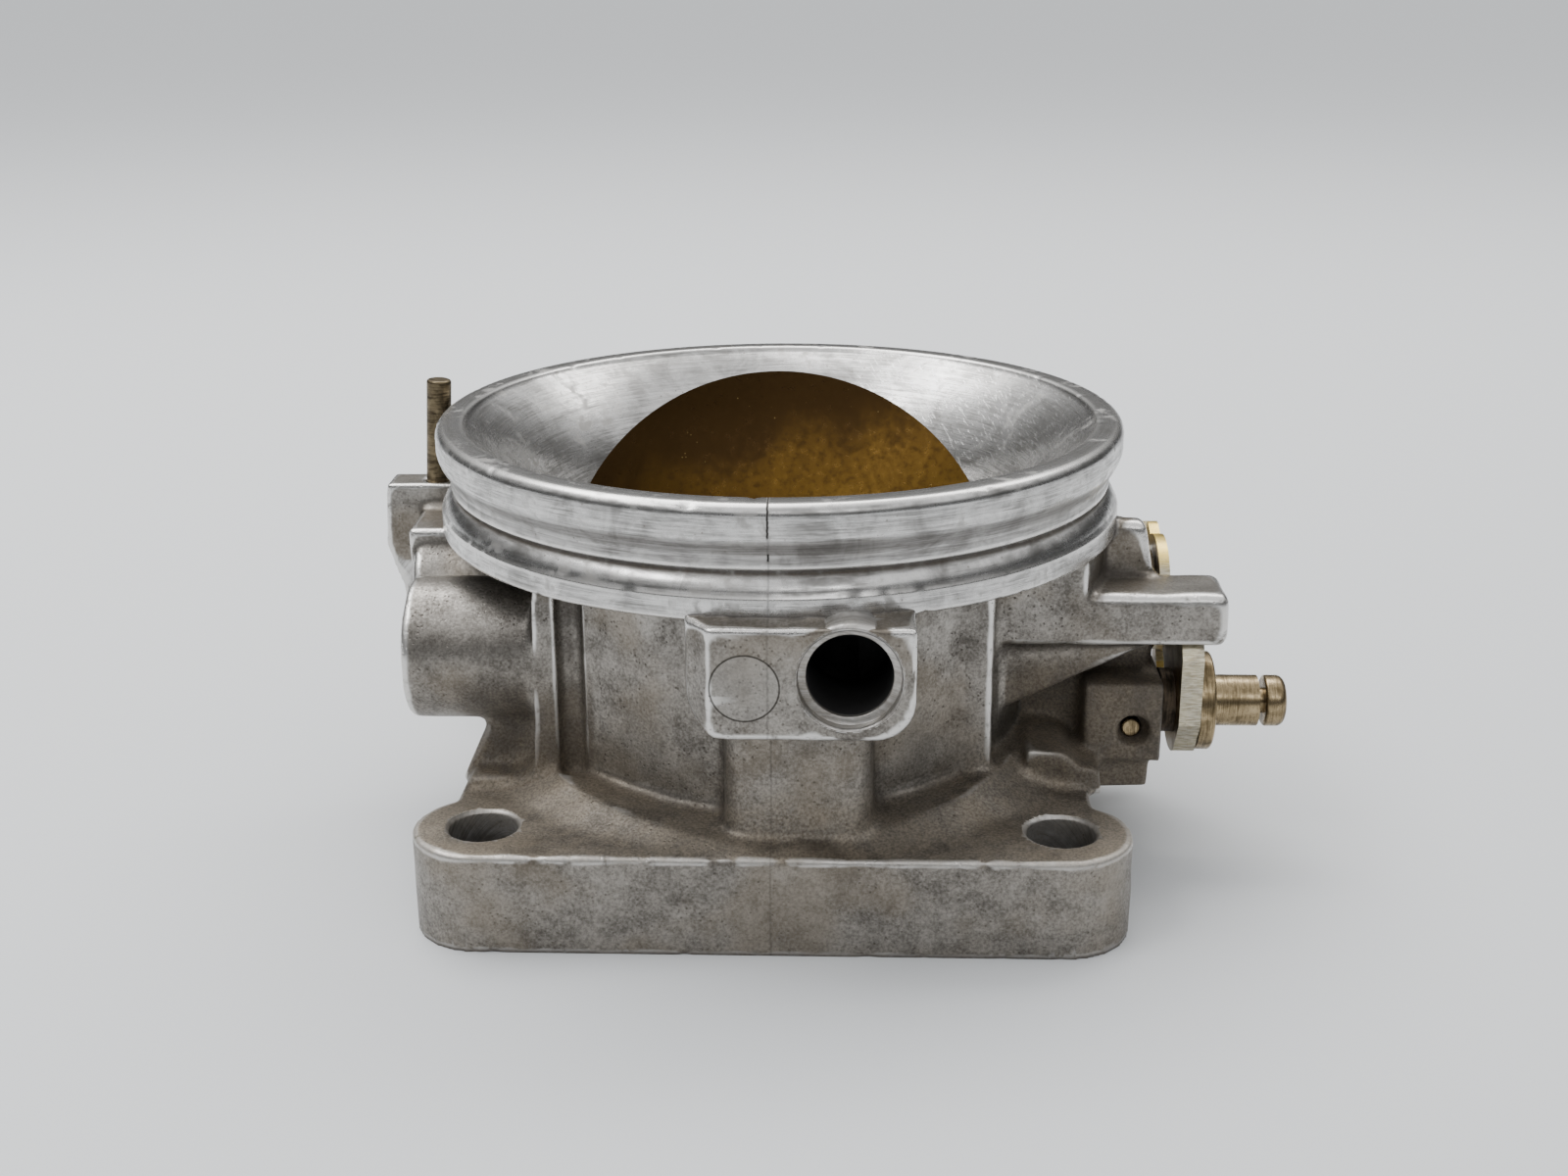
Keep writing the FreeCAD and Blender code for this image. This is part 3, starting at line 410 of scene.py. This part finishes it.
def varnished_brass():
    """Brass plate under baked brown varnish: dark at the upper edge, amber low on the right,
    with a bright rim: partly bare brass, partly a painted highlight."""
    kit = Shader("brass_plate")
    place = kit.place()
    x, _, z = kit.split(place)
    broad = kit.noise(kit.scaled(place, (1, 1, 0.8)), 13.0, 4.0, 0.55, 0.8)
    fine = kit.noise(place, 1.2, 5.0, 0.65)
    band = kit.add(kit.times(z, -0.045), kit.add(kit.times(x, 0.013), kit.times(broad, 1.1)))
    tone = kit.mix(kit.fade(band, -2.45, -1.75), (0.060, 0.033, 0.011), (0.16, 0.090, 0.020))
    tone = kit.mix(kit.fade(band, -1.85, -1.15), tone, (0.55, 0.34, 0.07))
    tone = kit.mix(kit.times(kit.fade(fine, 0.48, 0.68), 0.5), tone, (0.07, 0.04, 0.014))
    flecks = kit.times(kit.fade(kit.cells(place, 1.1), 0.04, 0.12, 1.0, 0.0),
                       kit.fade(kit.noise(place, 6.0, 2.0), 0.56, 0.64))
    tone = kit.mix(kit.times(flecks, 0.4), tone, (0.75, 0.55, 0.22))
    facing = kit.split(kit.node("ShaderNodeTexCoord").outputs["Normal"])
    flat = kit.math("ABSOLUTE", kit.add(kit.times(facing[1], -PLATE_NORMAL[0]),
                                        kit.times(facing[2], PLATE_NORMAL[1])))
    # painted highlight: the edge faces are painted pale and made less metallic, partly for bare
    # brass on the edge
    rim = kit.fade(flat, 0.90, 0.97, 1.0, 0.0)
    tone = kit.mix(rim, tone, (0.85, 0.66, 0.34))
    kit.set(base=tone, roughness=kit.fade(fine, 0.3, 0.7, 0.26, 0.44),
            metallic=kit.math("SUBTRACT", 0.92, kit.times(rim, 0.55)),
            normal=kit.bump(fine, 0.025, 0.5))
    return kit.material


def turned_steel(name, low, high, roughness, axis="x"):
    """Turned steel with fine rings and uneven tarnish."""
    kit = Shader(name)
    place = kit.place()
    lines = kit.noise(kit.scaled(place, (4.0, 0.3, 0.3) if axis == "x" else (0.3, 0.3, 4.0)),
                      1.0, 3.0, 0.65)
    cloud = kit.noise(place, 2.5, 4.0, 0.6, 0.4)
    mixed = kit.add(kit.times(lines, 0.45), kit.times(cloud, 0.55))
    tone = kit.mix(kit.fade(mixed, 0.36, 0.64), low, high)
    specks = kit.fade(kit.noise(place, 0.7, 4.0, 0.7), 0.60, 0.72)
    tone = kit.mix(kit.times(specks, 0.5), tone, (0.07, 0.05, 0.035))
    kit.set(base=tone, metallic=0.92, normal=kit.bump(lines, 0.03, 0.5),
            roughness=kit.fade(mixed, 0.35, 0.65, roughness + 0.1, roughness - 0.06))
    return kit.material


def yellow_zinc():
    """Yellow-passivated steel stamping: gold with a greenish cast, silver on its cut edges, with a
    painted gold highlight on faces that look up and painted shade on faces that look left.
    """
    kit = Shader("yellow_zinc")
    place = kit.place()
    cloud = kit.noise(place, 3.2, 4.0, 0.6, 0.8)
    fine = kit.noise(place, 0.5, 4.0, 0.65)
    tone = kit.mix(kit.fade(cloud, 0.35, 0.65), (0.30, 0.21, 0.06), (0.60, 0.43, 0.09))
    tone = kit.mix(kit.times(kit.fade(cloud, 0.55, 0.7), 0.4), tone, (0.42, 0.46, 0.26))
    facing = kit.split(kit.node("ShaderNodeTexCoord").outputs["Normal"])
    sheared = kit.fade(kit.math("ABSOLUTE", facing[0]), 0.5, 0.75, 1.0, 0.0)
    streaks = kit.noise(kit.scaled(place, (0.5, 4.0, 4.0)), 1.0, 3.0, 0.6)
    silver = kit.mix(kit.fade(streaks, 0.35, 0.65), (0.30, 0.28, 0.23), (0.62, 0.59, 0.50))
    tone = kit.mix(kit.times(sheared, 0.8), tone, silver)
    # painted highlight: faces that look up are painted bright gold
    top_highlight = kit.fade(facing[2], 0.6, 0.85)
    tone = kit.mix(kit.times(top_highlight, 0.8), tone, (0.90, 0.66, 0.16))
    # painted shade: faces that look left are painted dark brown
    darkened = kit.fade(facing[0], -0.6, -0.9)
    tone = kit.mix(kit.times(darkened, 0.85), tone, (0.13, 0.085, 0.04))
    tone = kit.mix(kit.times(kit.fade(fine, 0.58, 0.72), 0.6), tone, (0.12, 0.09, 0.05))
    kit.set(base=tone, metallic=0.9, roughness=kit.fade(cloud, 0.3, 0.7, 0.40, 0.28),
            normal=kit.bump(fine, 0.05, 0.6))
    return kit.material


def rubber():
    kit = Shader("seal_rubber")
    fine = kit.noise(kit.place(), 0.4, 3.0)
    kit.set(base=kit.mix(fine, (0.012, 0.012, 0.012), (0.05, 0.048, 0.045)),
            roughness=kit.fade(fine, 0.3, 0.7, 0.5, 0.7), normal=kit.bump(fine, 0.04, 0.6))
    return kit.material


def nylon():
    kit = Shader("roller_plastic")
    fine = kit.noise(kit.place(), 0.6, 3.0)
    kit.set(base=kit.mix(fine, (0.06, 0.055, 0.05), (0.12, 0.11, 0.10)),
            roughness=kit.fade(fine, 0.3, 0.7, 0.38, 0.55), normal=kit.bump(fine, 0.02, 0.5))
    return kit.material


# ---- mesh work on the housing ----------------------------------------------------------------

def read(mesh, what="vertices", field="co", width=3, kind=np.float32):
    """One field of every point or edge, as rows of an array."""
    data = getattr(mesh, what)
    out = np.empty(len(data) * width, kind)
    data.foreach_get(field, out)
    return out.reshape(-1, width)


class Net:
    """Vertex neighbours of a mesh, for smoothing in bulk."""

    def __init__(self, mesh):
        edges = read(mesh, "edges", "vertices", 2, np.int32)
        self.ends = np.concatenate([edges[:, 0], edges[:, 1]])
        self.others = np.concatenate([edges[:, 1], edges[:, 0]])
        self.size = len(mesh.vertices)
        self.degree = np.maximum(np.bincount(self.ends, minlength=self.size), 1)

    def mean(self, values):
        if values.ndim == 1:
            return np.bincount(self.ends, values[self.others], self.size) / self.degree
        return np.stack([self.mean(values[:, i]) for i in range(values.shape[1])], axis=1)

    def relax(self, values, steps, weight=0.5):
        for _ in range(steps):
            values = values + (self.mean(values) - values) * weight
        return values


def step(value, low, high):
    """A smooth rise from 0 at low to 1 at high, which may be the smaller of the two."""
    t = np.clip((value - low) / (high - low), 0, 1)
    return t * t * (3 - 2 * t)


def arc(start, end, radius, count=10):
    """Points from start up to end; a positive radius bulges to the right of the chord."""
    start, end = np.array(start, float), np.array(end, float)
    chord = end - start
    half = np.linalg.norm(chord) / 2
    right = np.array((chord[1], -chord[0])) / (2 * half)
    drop = math.sqrt(radius * radius - half * half)
    side = 1 if radius > 0 else -1
    centre = (start + end) / 2 - right * drop * side
    first = math.atan2(*(start - centre)[::-1])
    sweep = 2 * math.asin(half / abs(radius)) * side
    turns = first + sweep * np.arange(count) / count
    return [tuple(centre + abs(radius) * np.array((math.cos(t), math.sin(t)))) for t in turns]


def ring_profile():
    """Radius and height of the turned surface, from the rim's underside over the lip and down
    the bell to the throat, as the CAD has it; the metal lies to the left of the path."""
    low, top = RIM_LOW, LIP_TOP
    outside = [(49.0, low), (52.0, low)] + arc((52.5, low), (53.1, low + 0.6), 0.6, 5)
    outside += [(53.1, low + 0.6), (53.1, low + 1.5), (53.1, low + 2.5), (53.1, low + 3.3),
                (53.04, low + 3.5)]
    outside += arc((52.75, low + 3.9), (51.3, low + 6.1), 4.0, 6)
    outside += [(51.3, low + 6.1), (50.86, low + 6.52), (50.82, low + 6.72),
                (51.5, low + 7.12), (51.56, low + 7.3), (51.58, low + 8.0)]
    outside += arc((51.6, low + 8.5), (52.75, low + 10.8), -5.0, 6)
    outside += arc((52.75, low + 10.8), (53.5, low + 13.0), 5.0, 6)
    outside += [(53.5, low + 13.0), (53.5, low + 14.0)]
    outside += arc((53.5, low + 15.0), (52.0, top), 1.7, 8)
    outside += [(52.0, top), (51.2, top), (50.2, top)]
    bell = arc((THROAT_RADIUS, BELL_START), (48.9, 66.7), -34.0, 44)
    bell += arc((48.9, 66.7), (49.4, top), -0.8, 3)
    throat = [(34.98, 43.6), (34.97, 43.05)]
    return np.array(outside + [(49.4, top)] + bell[::-1] + throat)


RING = ring_profile()
# the hidden side of the lathe piece, inside the casting
RING_BACK = [(36.2, 43.3), (37.5, 45.0), (42.0, 55.5), (47.0, 62.5), (50.4, 65.3), (50.6, 63.0),
             (50.0, 58.0), (49.7, 56.0), (50.4, 52.2), (49.0, 51.7)]


def off_profile(far, z):
    """Distance to the turned surface and the direction into the metal, for points as radius
    and height."""
    best = np.full(len(far), 1e9)
    into = np.zeros((len(far), 2))
    for a, b in zip(RING, RING[1:]):
        line = b - a
        length = np.hypot(*line)
        t = np.clip(((far - a[0]) * line[0] + (z - a[1]) * line[1]) / length ** 2, 0, 1)
        away = np.hypot(far - a[0] - t * line[0], z - a[1] - t * line[1])
        closer = away < best
        best[closer] = away[closer]
        into[closer] = (-line[1] / length, line[0] / length)
    return best, into


def add_marks(mesh, marks):
    for name in MARKS:
        attribute = mesh.attributes.new(name, "FLOAT", "POINT")
        values = np.clip(np.asarray(marks[name], np.float64), 0, 1).astype(np.float32)
        attribute.data.foreach_set("value", values)


def lathe(path, turns):
    """Points (millimetres) and quads of a closed path of radius and height turned about Z."""
    path = np.array(path)
    angle = 2 * math.pi * np.arange(turns) / turns
    co = np.empty((turns, len(path), 3))
    co[:, :, 0] = np.cos(angle)[:, None] * path[:, 0]
    co[:, :, 1] = np.sin(angle)[:, None] * path[:, 0]
    co[:, :, 2] = path[:, 1]
    i, j = np.meshgrid(np.arange(turns), np.arange(len(path)), indexing="ij")
    ahead, along = (i + 1) % turns, (j + 1) % len(path)
    faces = np.stack([i * len(path) + j, ahead * len(path) + j, ahead * len(path) + along,
                      i * len(path) + along], axis=-1).reshape(-1, 4)
    return co.reshape(-1, 3), faces


def new_piece(name, co, faces, material):
    mesh = bpy.data.meshes.new(name)
    mesh.from_pydata((co * MM).tolist(), [], faces.tolist())
    mesh.polygons.foreach_set("use_smooth", np.ones(len(mesh.polygons), bool))
    mesh.materials.append(material)
    mesh.update()
    ob = bpy.data.objects.new(name, mesh)
    bpy.context.collection.objects.link(ob)
    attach(ob, "root")
    return mesh


def turned_ring(material):
    """The turned mouth as a fine lathe piece, so that its lips and groove stay sharp."""
    co, faces = lathe(list(RING) + RING_BACK, 600)
    mesh = new_piece("turned_ring", co, faces, material)
    normals = read(mesh, "vertices", "normal").astype(np.float64)
    co = dent(co, normals, ring_dents(np.random.default_rng(11)))
    mesh.vertices.foreach_set("co", (co * MM).astype(np.float32).ravel())
    mesh.update()
    far, z = np.hypot(co[:, 0], co[:, 1]), co[:, 2]
    # the lip and rim edges are marked pale: wear and a painted highlight
    edges = ((49.4, 67.3), (52.6, 67.1), (53.1, 54.1), (52.95, 50.9), (51.5, 57.9))
    wear_and_highlight = sum(step(np.hypot(far - r, z - h), 0.9, 0.1) * 0.75 for r, h in edges)
    # painted shade: dark in and just above the groove, on the rim's underside and in the hollow
    # below the bead; the groove also gets a little brown stain
    groove = step(np.hypot(far - 50.85, z - 57.3), 1.0, 0.25)
    under = step(np.hypot(far - 51.6, z - 58.9), 0.8, 0.2) * 0.35 + step(z, 51.0, 50.72) * 0.5
    hollow = step(np.abs(z - 60.9), 2.2, 0.4) * (far > 50.9) * 0.48
    add_marks(mesh, {"machined": np.ones(len(co)), "wear_and_highlight": wear_and_highlight, "soot_and_shade": np.zeros(len(co)),
                     "painted_shade": groove + under + hollow, "stain": groove * 0.4})


def bored_walls(material):
    """Exact walls for the port and the flange holes, with their edges just broken, from
    paths of radius and height or of radius and distance to the front."""
    hole = [(5.75, 15.2), (5.55, 15.16), (5.1, 14.78), (5.05, 14.6), (5.05, 11.0), (5.05, 0.6),
            (5.1, 0.3), (5.4, 0.0), (6.2, 1.0), (6.2, 14.4)]
    port = [(7.45, 57.2), (7.25, 57.14), (7.02, 56.9), (7.0, 56.7), (7.0, 55.5), (6.95, 55.42),
            (6.1, 55.4), (5.93, 55.34), (5.9, 55.1), (5.9, 54.4), (5.9, 53.6), (5.9, 46.0),
            (5.9, 41.8), (8.0, 41.8), (8.0, 56.6)]
    ports, quads = lathe(port, 160)
    ports = np.stack([ports[:, 0] + PORT[0], -ports[:, 2], ports[:, 1] + PORT[1]], axis=1)
    # painted shade: the port's wall turns black past its seat and the holes' walls darken with
    # depth, through the soot mark
    co, faces, dark = [ports], [quads], [step(ports[:, 1], -55.1, -54.4)]
    wall, quads = lathe(hole, 96)
    for x, y in BOLTS:
        faces.append(quads + sum(len(c) for c in co))
        co.append(wall + (x, y, 0))
        dark.append(step(wall[:, 2], 15.0, 11.5) * 0.72)
    co, faces, dark = np.concatenate(co), np.concatenate(faces), np.concatenate(dark)
    mesh = new_piece("bored_walls", co, faces, material)
    y, z = co[:, 1], co[:, 2]
    # the edges are paler: wear and a painted highlight
    edge = step(np.abs(z - 15.1), 0.5, 0.1) * 0.5 + step(y, -57.0, -57.15) * 0.35
    # a little painted shade over all the walls, and brown stain
    add_marks(mesh, {"machined": np.ones(len(co)), "wear_and_highlight": edge, "soot_and_shade": dark,
                     "painted_shade": np.full(len(co), 0.12), "stain": np.full(len(co), 0.7)})


def drilled_share(co):
    """1 where the casting below the ring was bored, drilled or milled (millimetres)."""
    x, y, z = co.T
    far = np.hypot(x, y)
    share = (far < 36.2) * (z < 44.6) * 1.0
    share = np.maximum(share, step(z, 0.5, 0.25))
    for hx, hy in BOLTS:
        share = np.maximum(share, (np.hypot(x - hx, y - hy) < 6.4) * 1.0)
    share = np.maximum(share, (np.hypot(x - PORT[0], z - PORT[1]) < 8.0) * (y < -40))
    share = np.maximum(share, (np.hypot(y, z - SHAFT_HEIGHT) < 7.4) * (np.abs(x) > 42))
    pocket = np.hypot(y - LEFT_POCKET[0], z - LEFT_POCKET[1])
    share = np.maximum(share, (pocket < 6.6) * (x < -45))
    share = np.maximum(share, (x > 59.1) * (y > -20) * (y < -5) * (z < 30))
    return share.astype(np.float64)


def true_bores(co):
    """Put the throat's wall back on its exact radius, and open the port and the flange holes
    a little for the wall pieces that line them. The port's seat sinks as well."""
    x, y, z = co.T
    seat = (np.hypot(x - PORT[0], z - PORT[1]) < 7.2) & (np.abs(y - SEAT_FLOOR) < 0.5)
    # plane's axes, centre, radius, reach, gap to open, and where along the wall
    walls = [(0, 1, (0.0, 0.0), THROAT_RADIUS, 0.5, 0.0, (z > 0.3) & (z < 43.6))]
    walls += [(0, 1, bolt, BOLT_RADIUS, 0.55, 0.42, z < 16) for bolt in BOLTS]
    walls += [(0, 2, PORT, PORT_RADIUS, 0.5, 0.42, (y > -55.8) & (y < -41.5)),
              (0, 2, PORT, SEAT_RADIUS, 0.45, 0.3, y < -55.0)]
    for a, b, centre, radius, reach, gap, span in walls:
        away = np.hypot(co[:, a] - centre[0], co[:, b] - centre[1])
        near = span & (np.abs(away - radius) < reach)
        for axis, middle in ((a, centre[0]), (b, centre[1])):
            co[near, axis] = middle + (co[near, axis] - middle) * (radius + gap) / away[near]
    co[seat, 1] += 0.5
    return co


def apply_modifiers(ob):
    graph = bpy.context.evaluated_depsgraph_get()
    mesh = bpy.data.meshes.new_from_object(ob.evaluated_get(graph))
    ob.modifiers.clear()
    old = ob.data
    ob.data = mesh
    bpy.data.meshes.remove(old)
    return mesh


def soften(mesh, net):
    """Shape the casting: soft inner corners, uneven skin, dents, exact bores, and the turned
    mouth let in by half a millimetre. Gives the points in millimetres, their normals before
    shaping, and 1 for each point that was turned or drilled."""
    co = read(mesh).astype(np.float64) / MM
    lowest, highest = co.min(axis=0), co.max(axis=0)
    normals = read(mesh, "vertices", "normal").astype(np.float64)
    away, into = off_profile(np.hypot(co[:, 0], co[:, 1]), co[:, 2])
    turned = (away < VOXEL) & (co[:, 2] > 43.5)
    fixed = np.maximum(drilled_share(co), turned)
    soft = (1.0 - net.relax(fixed, 2)) * (fixed < 0.5)

    bulge = ((co - net.relax(co, 10)) * normals).sum(axis=1)
    hollow = net.relax(step(-bulge, 0.01, 0.12), 4)
    bar = (co[:, 0] > 45) & (co[:, 2] > 30)
    weight = soft * (0.14 + np.where(bar, 0.2, 0.86) * np.clip(hollow * 1.8, 0, 1))
    for _ in range(34):
        co += (net.mean(co) - co) * (0.55 * weight)[:, None]
    even = 1.0 - fixed
    for _ in range(3):
        co += (net.mean(co) - co) * (0.4 * even)[:, None]
    rng = np.random.default_rng(7)
    co += normals * (waviness(co, rng) * soft)[:, None]
    co = dent(co, normals, flange_dents(rng))
    co = true_bores(co)
    far = np.maximum(np.hypot(co[:, 0], co[:, 1]), 0.01)
    sink = 0.5 * turned
    for axis in (0, 1):
        co[:, axis] += sink * into[:, 0] * co[:, axis] / far
    co[:, 2] += sink * into[:, 1]
    return np.clip(co, lowest, highest), normals, fixed


def age(co, normals, fixed, net):
    """Where the casting is machined, worn bright with painted edge highlights, darkened with
    painted shade in hollows and at the floor, stained brown, or black with soot and painted shade.
    """
    small = net.relax(((co - net.relax(co, 12)) * normals).sum(axis=1), 1)
    wide = ((co - net.relax(co, 60)) * normals).sum(axis=1)
    x, y, z = co.T
    far = np.hypot(x, y)
    hole = np.minimum.reduce([np.hypot(x - hx, y - hy) for hx, hy in BOLTS])
    port = np.hypot(x - PORT[0], z - PORT[1])
    cast_face = (port > 7.2) & (port < 8.6) & (y < -56)
    cast_face |= (hole > 5.6) & (hole < 7) & (z > 14)

    # the barrel's foot, the corner by the relay boss and the boss itself, the left recess
    skirt = step(far, 39, 42) * step(z, 29, 18) * step(z, 13.8, 15)
    relay = step(np.hypot(x - 50, y + 10), 24, 15) * step(z, 38, 30) * (far > 40.6) * (z > 15.3)
    boss = (x > 47.6) * (y > -22) * (y < 0) * (z < 29.5) * (z > 8)
    relay = np.maximum(relay, boss * 0.9)
    recess = (x < -27) * (x > -48) * (y > -31) * (y < -20) * step(z, 44, 20) * (z > 15.4)
    stain = np.maximum.reduce([
        skirt * 0.95, step(z, 48, 30) * 0.22, step(hole, 10, 6) * step(z, 10, 14), relay * 0.9,
        recess * 0.7, step(z, 4.0, 0.3) * 0.45])
    # painted shade: dark in small and wide hollows, by the relay boss, in the left recess and in a
    # band where the flange meets the floor
    painted_shade = np.maximum.reduce([
        step(-small, 0.02, 0.17), step(-wide, 0.12, 0.75) * 0.8, relay * 0.62, recess * 0.6,
        step(z, 1.1, 0.2) * 0.8])
    # black in the port, the passage and the flange holes: partly soot, partly painted shade that
    # hides their depths; in the flange holes it is painted shade alone
    soot_and_shade = (port < 6.6) * (y > -55.3) * (y < -34)
    passage = np.hypot(x - PASSAGE[0], y - PASSAGE[1])
    soot_and_shade = np.maximum(soot_and_shade, (passage < 3.9) * (z > 14))
    soot_and_shade = np.maximum(soot_and_shade, (hole < 5.5) * step(z, 15.1, 13.0) * 0.72)
    open_skin = (1 - 0.8 * np.clip(relay, 0, 1)) * ~cast_face * (far > 37)
    # convex edges get the pale mark: partly wear, partly a painted highlight
    return {"machined": fixed * (soot_and_shade < 0.9) * ~cast_face, "stain": stain, "soot_and_shade": soot_and_shade,
            "wear_and_highlight": step(small, 0.02, 0.13) * open_skin, "painted_shade": painted_shade}


def cast_housing(material):
    """A fine copy of the casting, shaped and aged, in place of its CAD node."""
    ob = bpy.data.objects.new("cast_housing", NODES["throttle_housing"].data.copy())
    bpy.context.collection.objects.link(ob)
    remesh = ob.modifiers.new("voxels", "REMESH")
    remesh.mode = "VOXEL"
    remesh.voxel_size = VOXEL * MM
    mesh = apply_modifiers(ob)
    net = Net(mesh)
    co, normals, fixed = soften(mesh, net)
    mesh.vertices.foreach_set("co", (co * MM).astype(np.float32).ravel())
    mesh.update()
    add_marks(mesh, age(co, normals, fixed, net))
    thin = ob.modifiers.new("thin", "DECIMATE")
    thin.ratio = TRIANGLES / (2 * len(mesh.polygons))
    mesh = apply_modifiers(ob)
    mesh.polygons.foreach_set("use_smooth", np.ones(len(mesh.polygons), bool))
    mesh.materials.clear()
    mesh.materials.append(material)
    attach(ob, "root")
    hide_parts("throttle_housing")


def waviness(co, rng):
    """A few slow sine waves in mixed directions: the unevenness of a sand mould, in mm."""
    total = np.zeros(len(co))
    for _ in range(14):
        direction = rng.normal(size=3)
        direction /= np.linalg.norm(direction)
        length = rng.uniform(3.5, 11)
        total += np.sin(co @ direction * (2 * math.pi / length) + rng.uniform(0, 6.28)) * length
    return total * 0.0020


def ring_dents(rng):
    """Place, reach and depth of small dents along the lip and the rim."""
    edges = ((49.5, 67.2), (52.8, 66.9), (53.1, 54.0), (53.0, 50.9))
    dents = []
    for _ in range(60):
        angle = rng.uniform(0, 2 * math.pi)
        radius, height = edges[rng.integers(4)]
        dents.append((radius * math.cos(angle), radius * math.sin(angle), height,
                      rng.uniform(0.3, 0.75), rng.uniform(0.08, 0.26)))
    return dents


def flange_dents(rng):
    """Place, reach and depth of small dents along the flange's front and rear edges."""
    return [(rng.uniform(-44, 44), (-FLANGE_FRONT, FLANGE_FRONT)[rng.integers(2)],
             (0.2, FLANGE_TOP)[rng.integers(2)], rng.uniform(0.4, 1.1), rng.uniform(0.08, 0.25))
            for _ in range(30)]


def dent(co, normals, dents):
    """Push the points near each dent's centre in along their normals."""
    co = co.copy()
    for x, y, z, reach, depth in dents:
        near = np.linalg.norm(co - (x, y, z), axis=1)
        touched = near < reach * 2
        push = depth * np.exp(-(near[touched] / reach) ** 2)
        co[touched] -= normals[touched] * push[:, None]
    return co


# ---- CAD nodes that keep their shape ----------------------------------------------------------

def dress_nodes():
    bright = turned_steel("bright_steel", (0.28, 0.28, 0.275), (0.56, 0.56, 0.55), 0.34)
    bronze = turned_steel("bronze_steel", (0.12, 0.088, 0.045), (0.42, 0.325, 0.19), 0.28)
    post = turned_steel("post_steel", (0.045, 0.034, 0.02), (0.19, 0.15, 0.09), 0.40, "z")
    # painted shade: the relay washer sits in shadow between boss and lever, so its steel is made
    # dark
    dark_and_dull = turned_steel("shaded_dark_steel", (0.03, 0.024, 0.018), (0.13, 0.10, 0.07), 0.55)
    sintered = turned_steel("sintered_bronze", (0.26, 0.17, 0.08), (0.44, 0.31, 0.17), 0.5)
    brass = varnished_brass()
    zinc = yellow_zinc()
    finish = {
        "throttle_plate": brass, "plate_screws": brass, "throttle_shaft": bright,
        "throttle_lever": zinc, "relay_lever": zinc, "roller_stud": bright,
        "guide_roller": nylon(), "relay_axle": bronze, "relay_bush": sintered,
        "relay_washer": dark_and_dull, "retaining_dowel": bronze, "spring_post": post,
        "shaft_bush_left": sintered, "shaft_bush_right": sintered,
        "shaft_seal_left": rubber(), "shaft_clip": bright, "shaft_end_plug": bright,
        "boss_plug": bright, "stop_screw": zinc, "stop_screw_nut": zinc,
    }
    finish["shaft_seal_right"] = finish["shaft_seal_left"]
    for name, material in finish.items():
        mesh = NODES[name].data
        mesh.materials.clear()
        mesh.materials.append(material)


camera()
pale_floor()
sky()
lights()
CASTING = cast_aluminium()
cast_housing(CASTING)
turned_ring(CASTING)
bored_walls(CASTING)
dress_nodes()
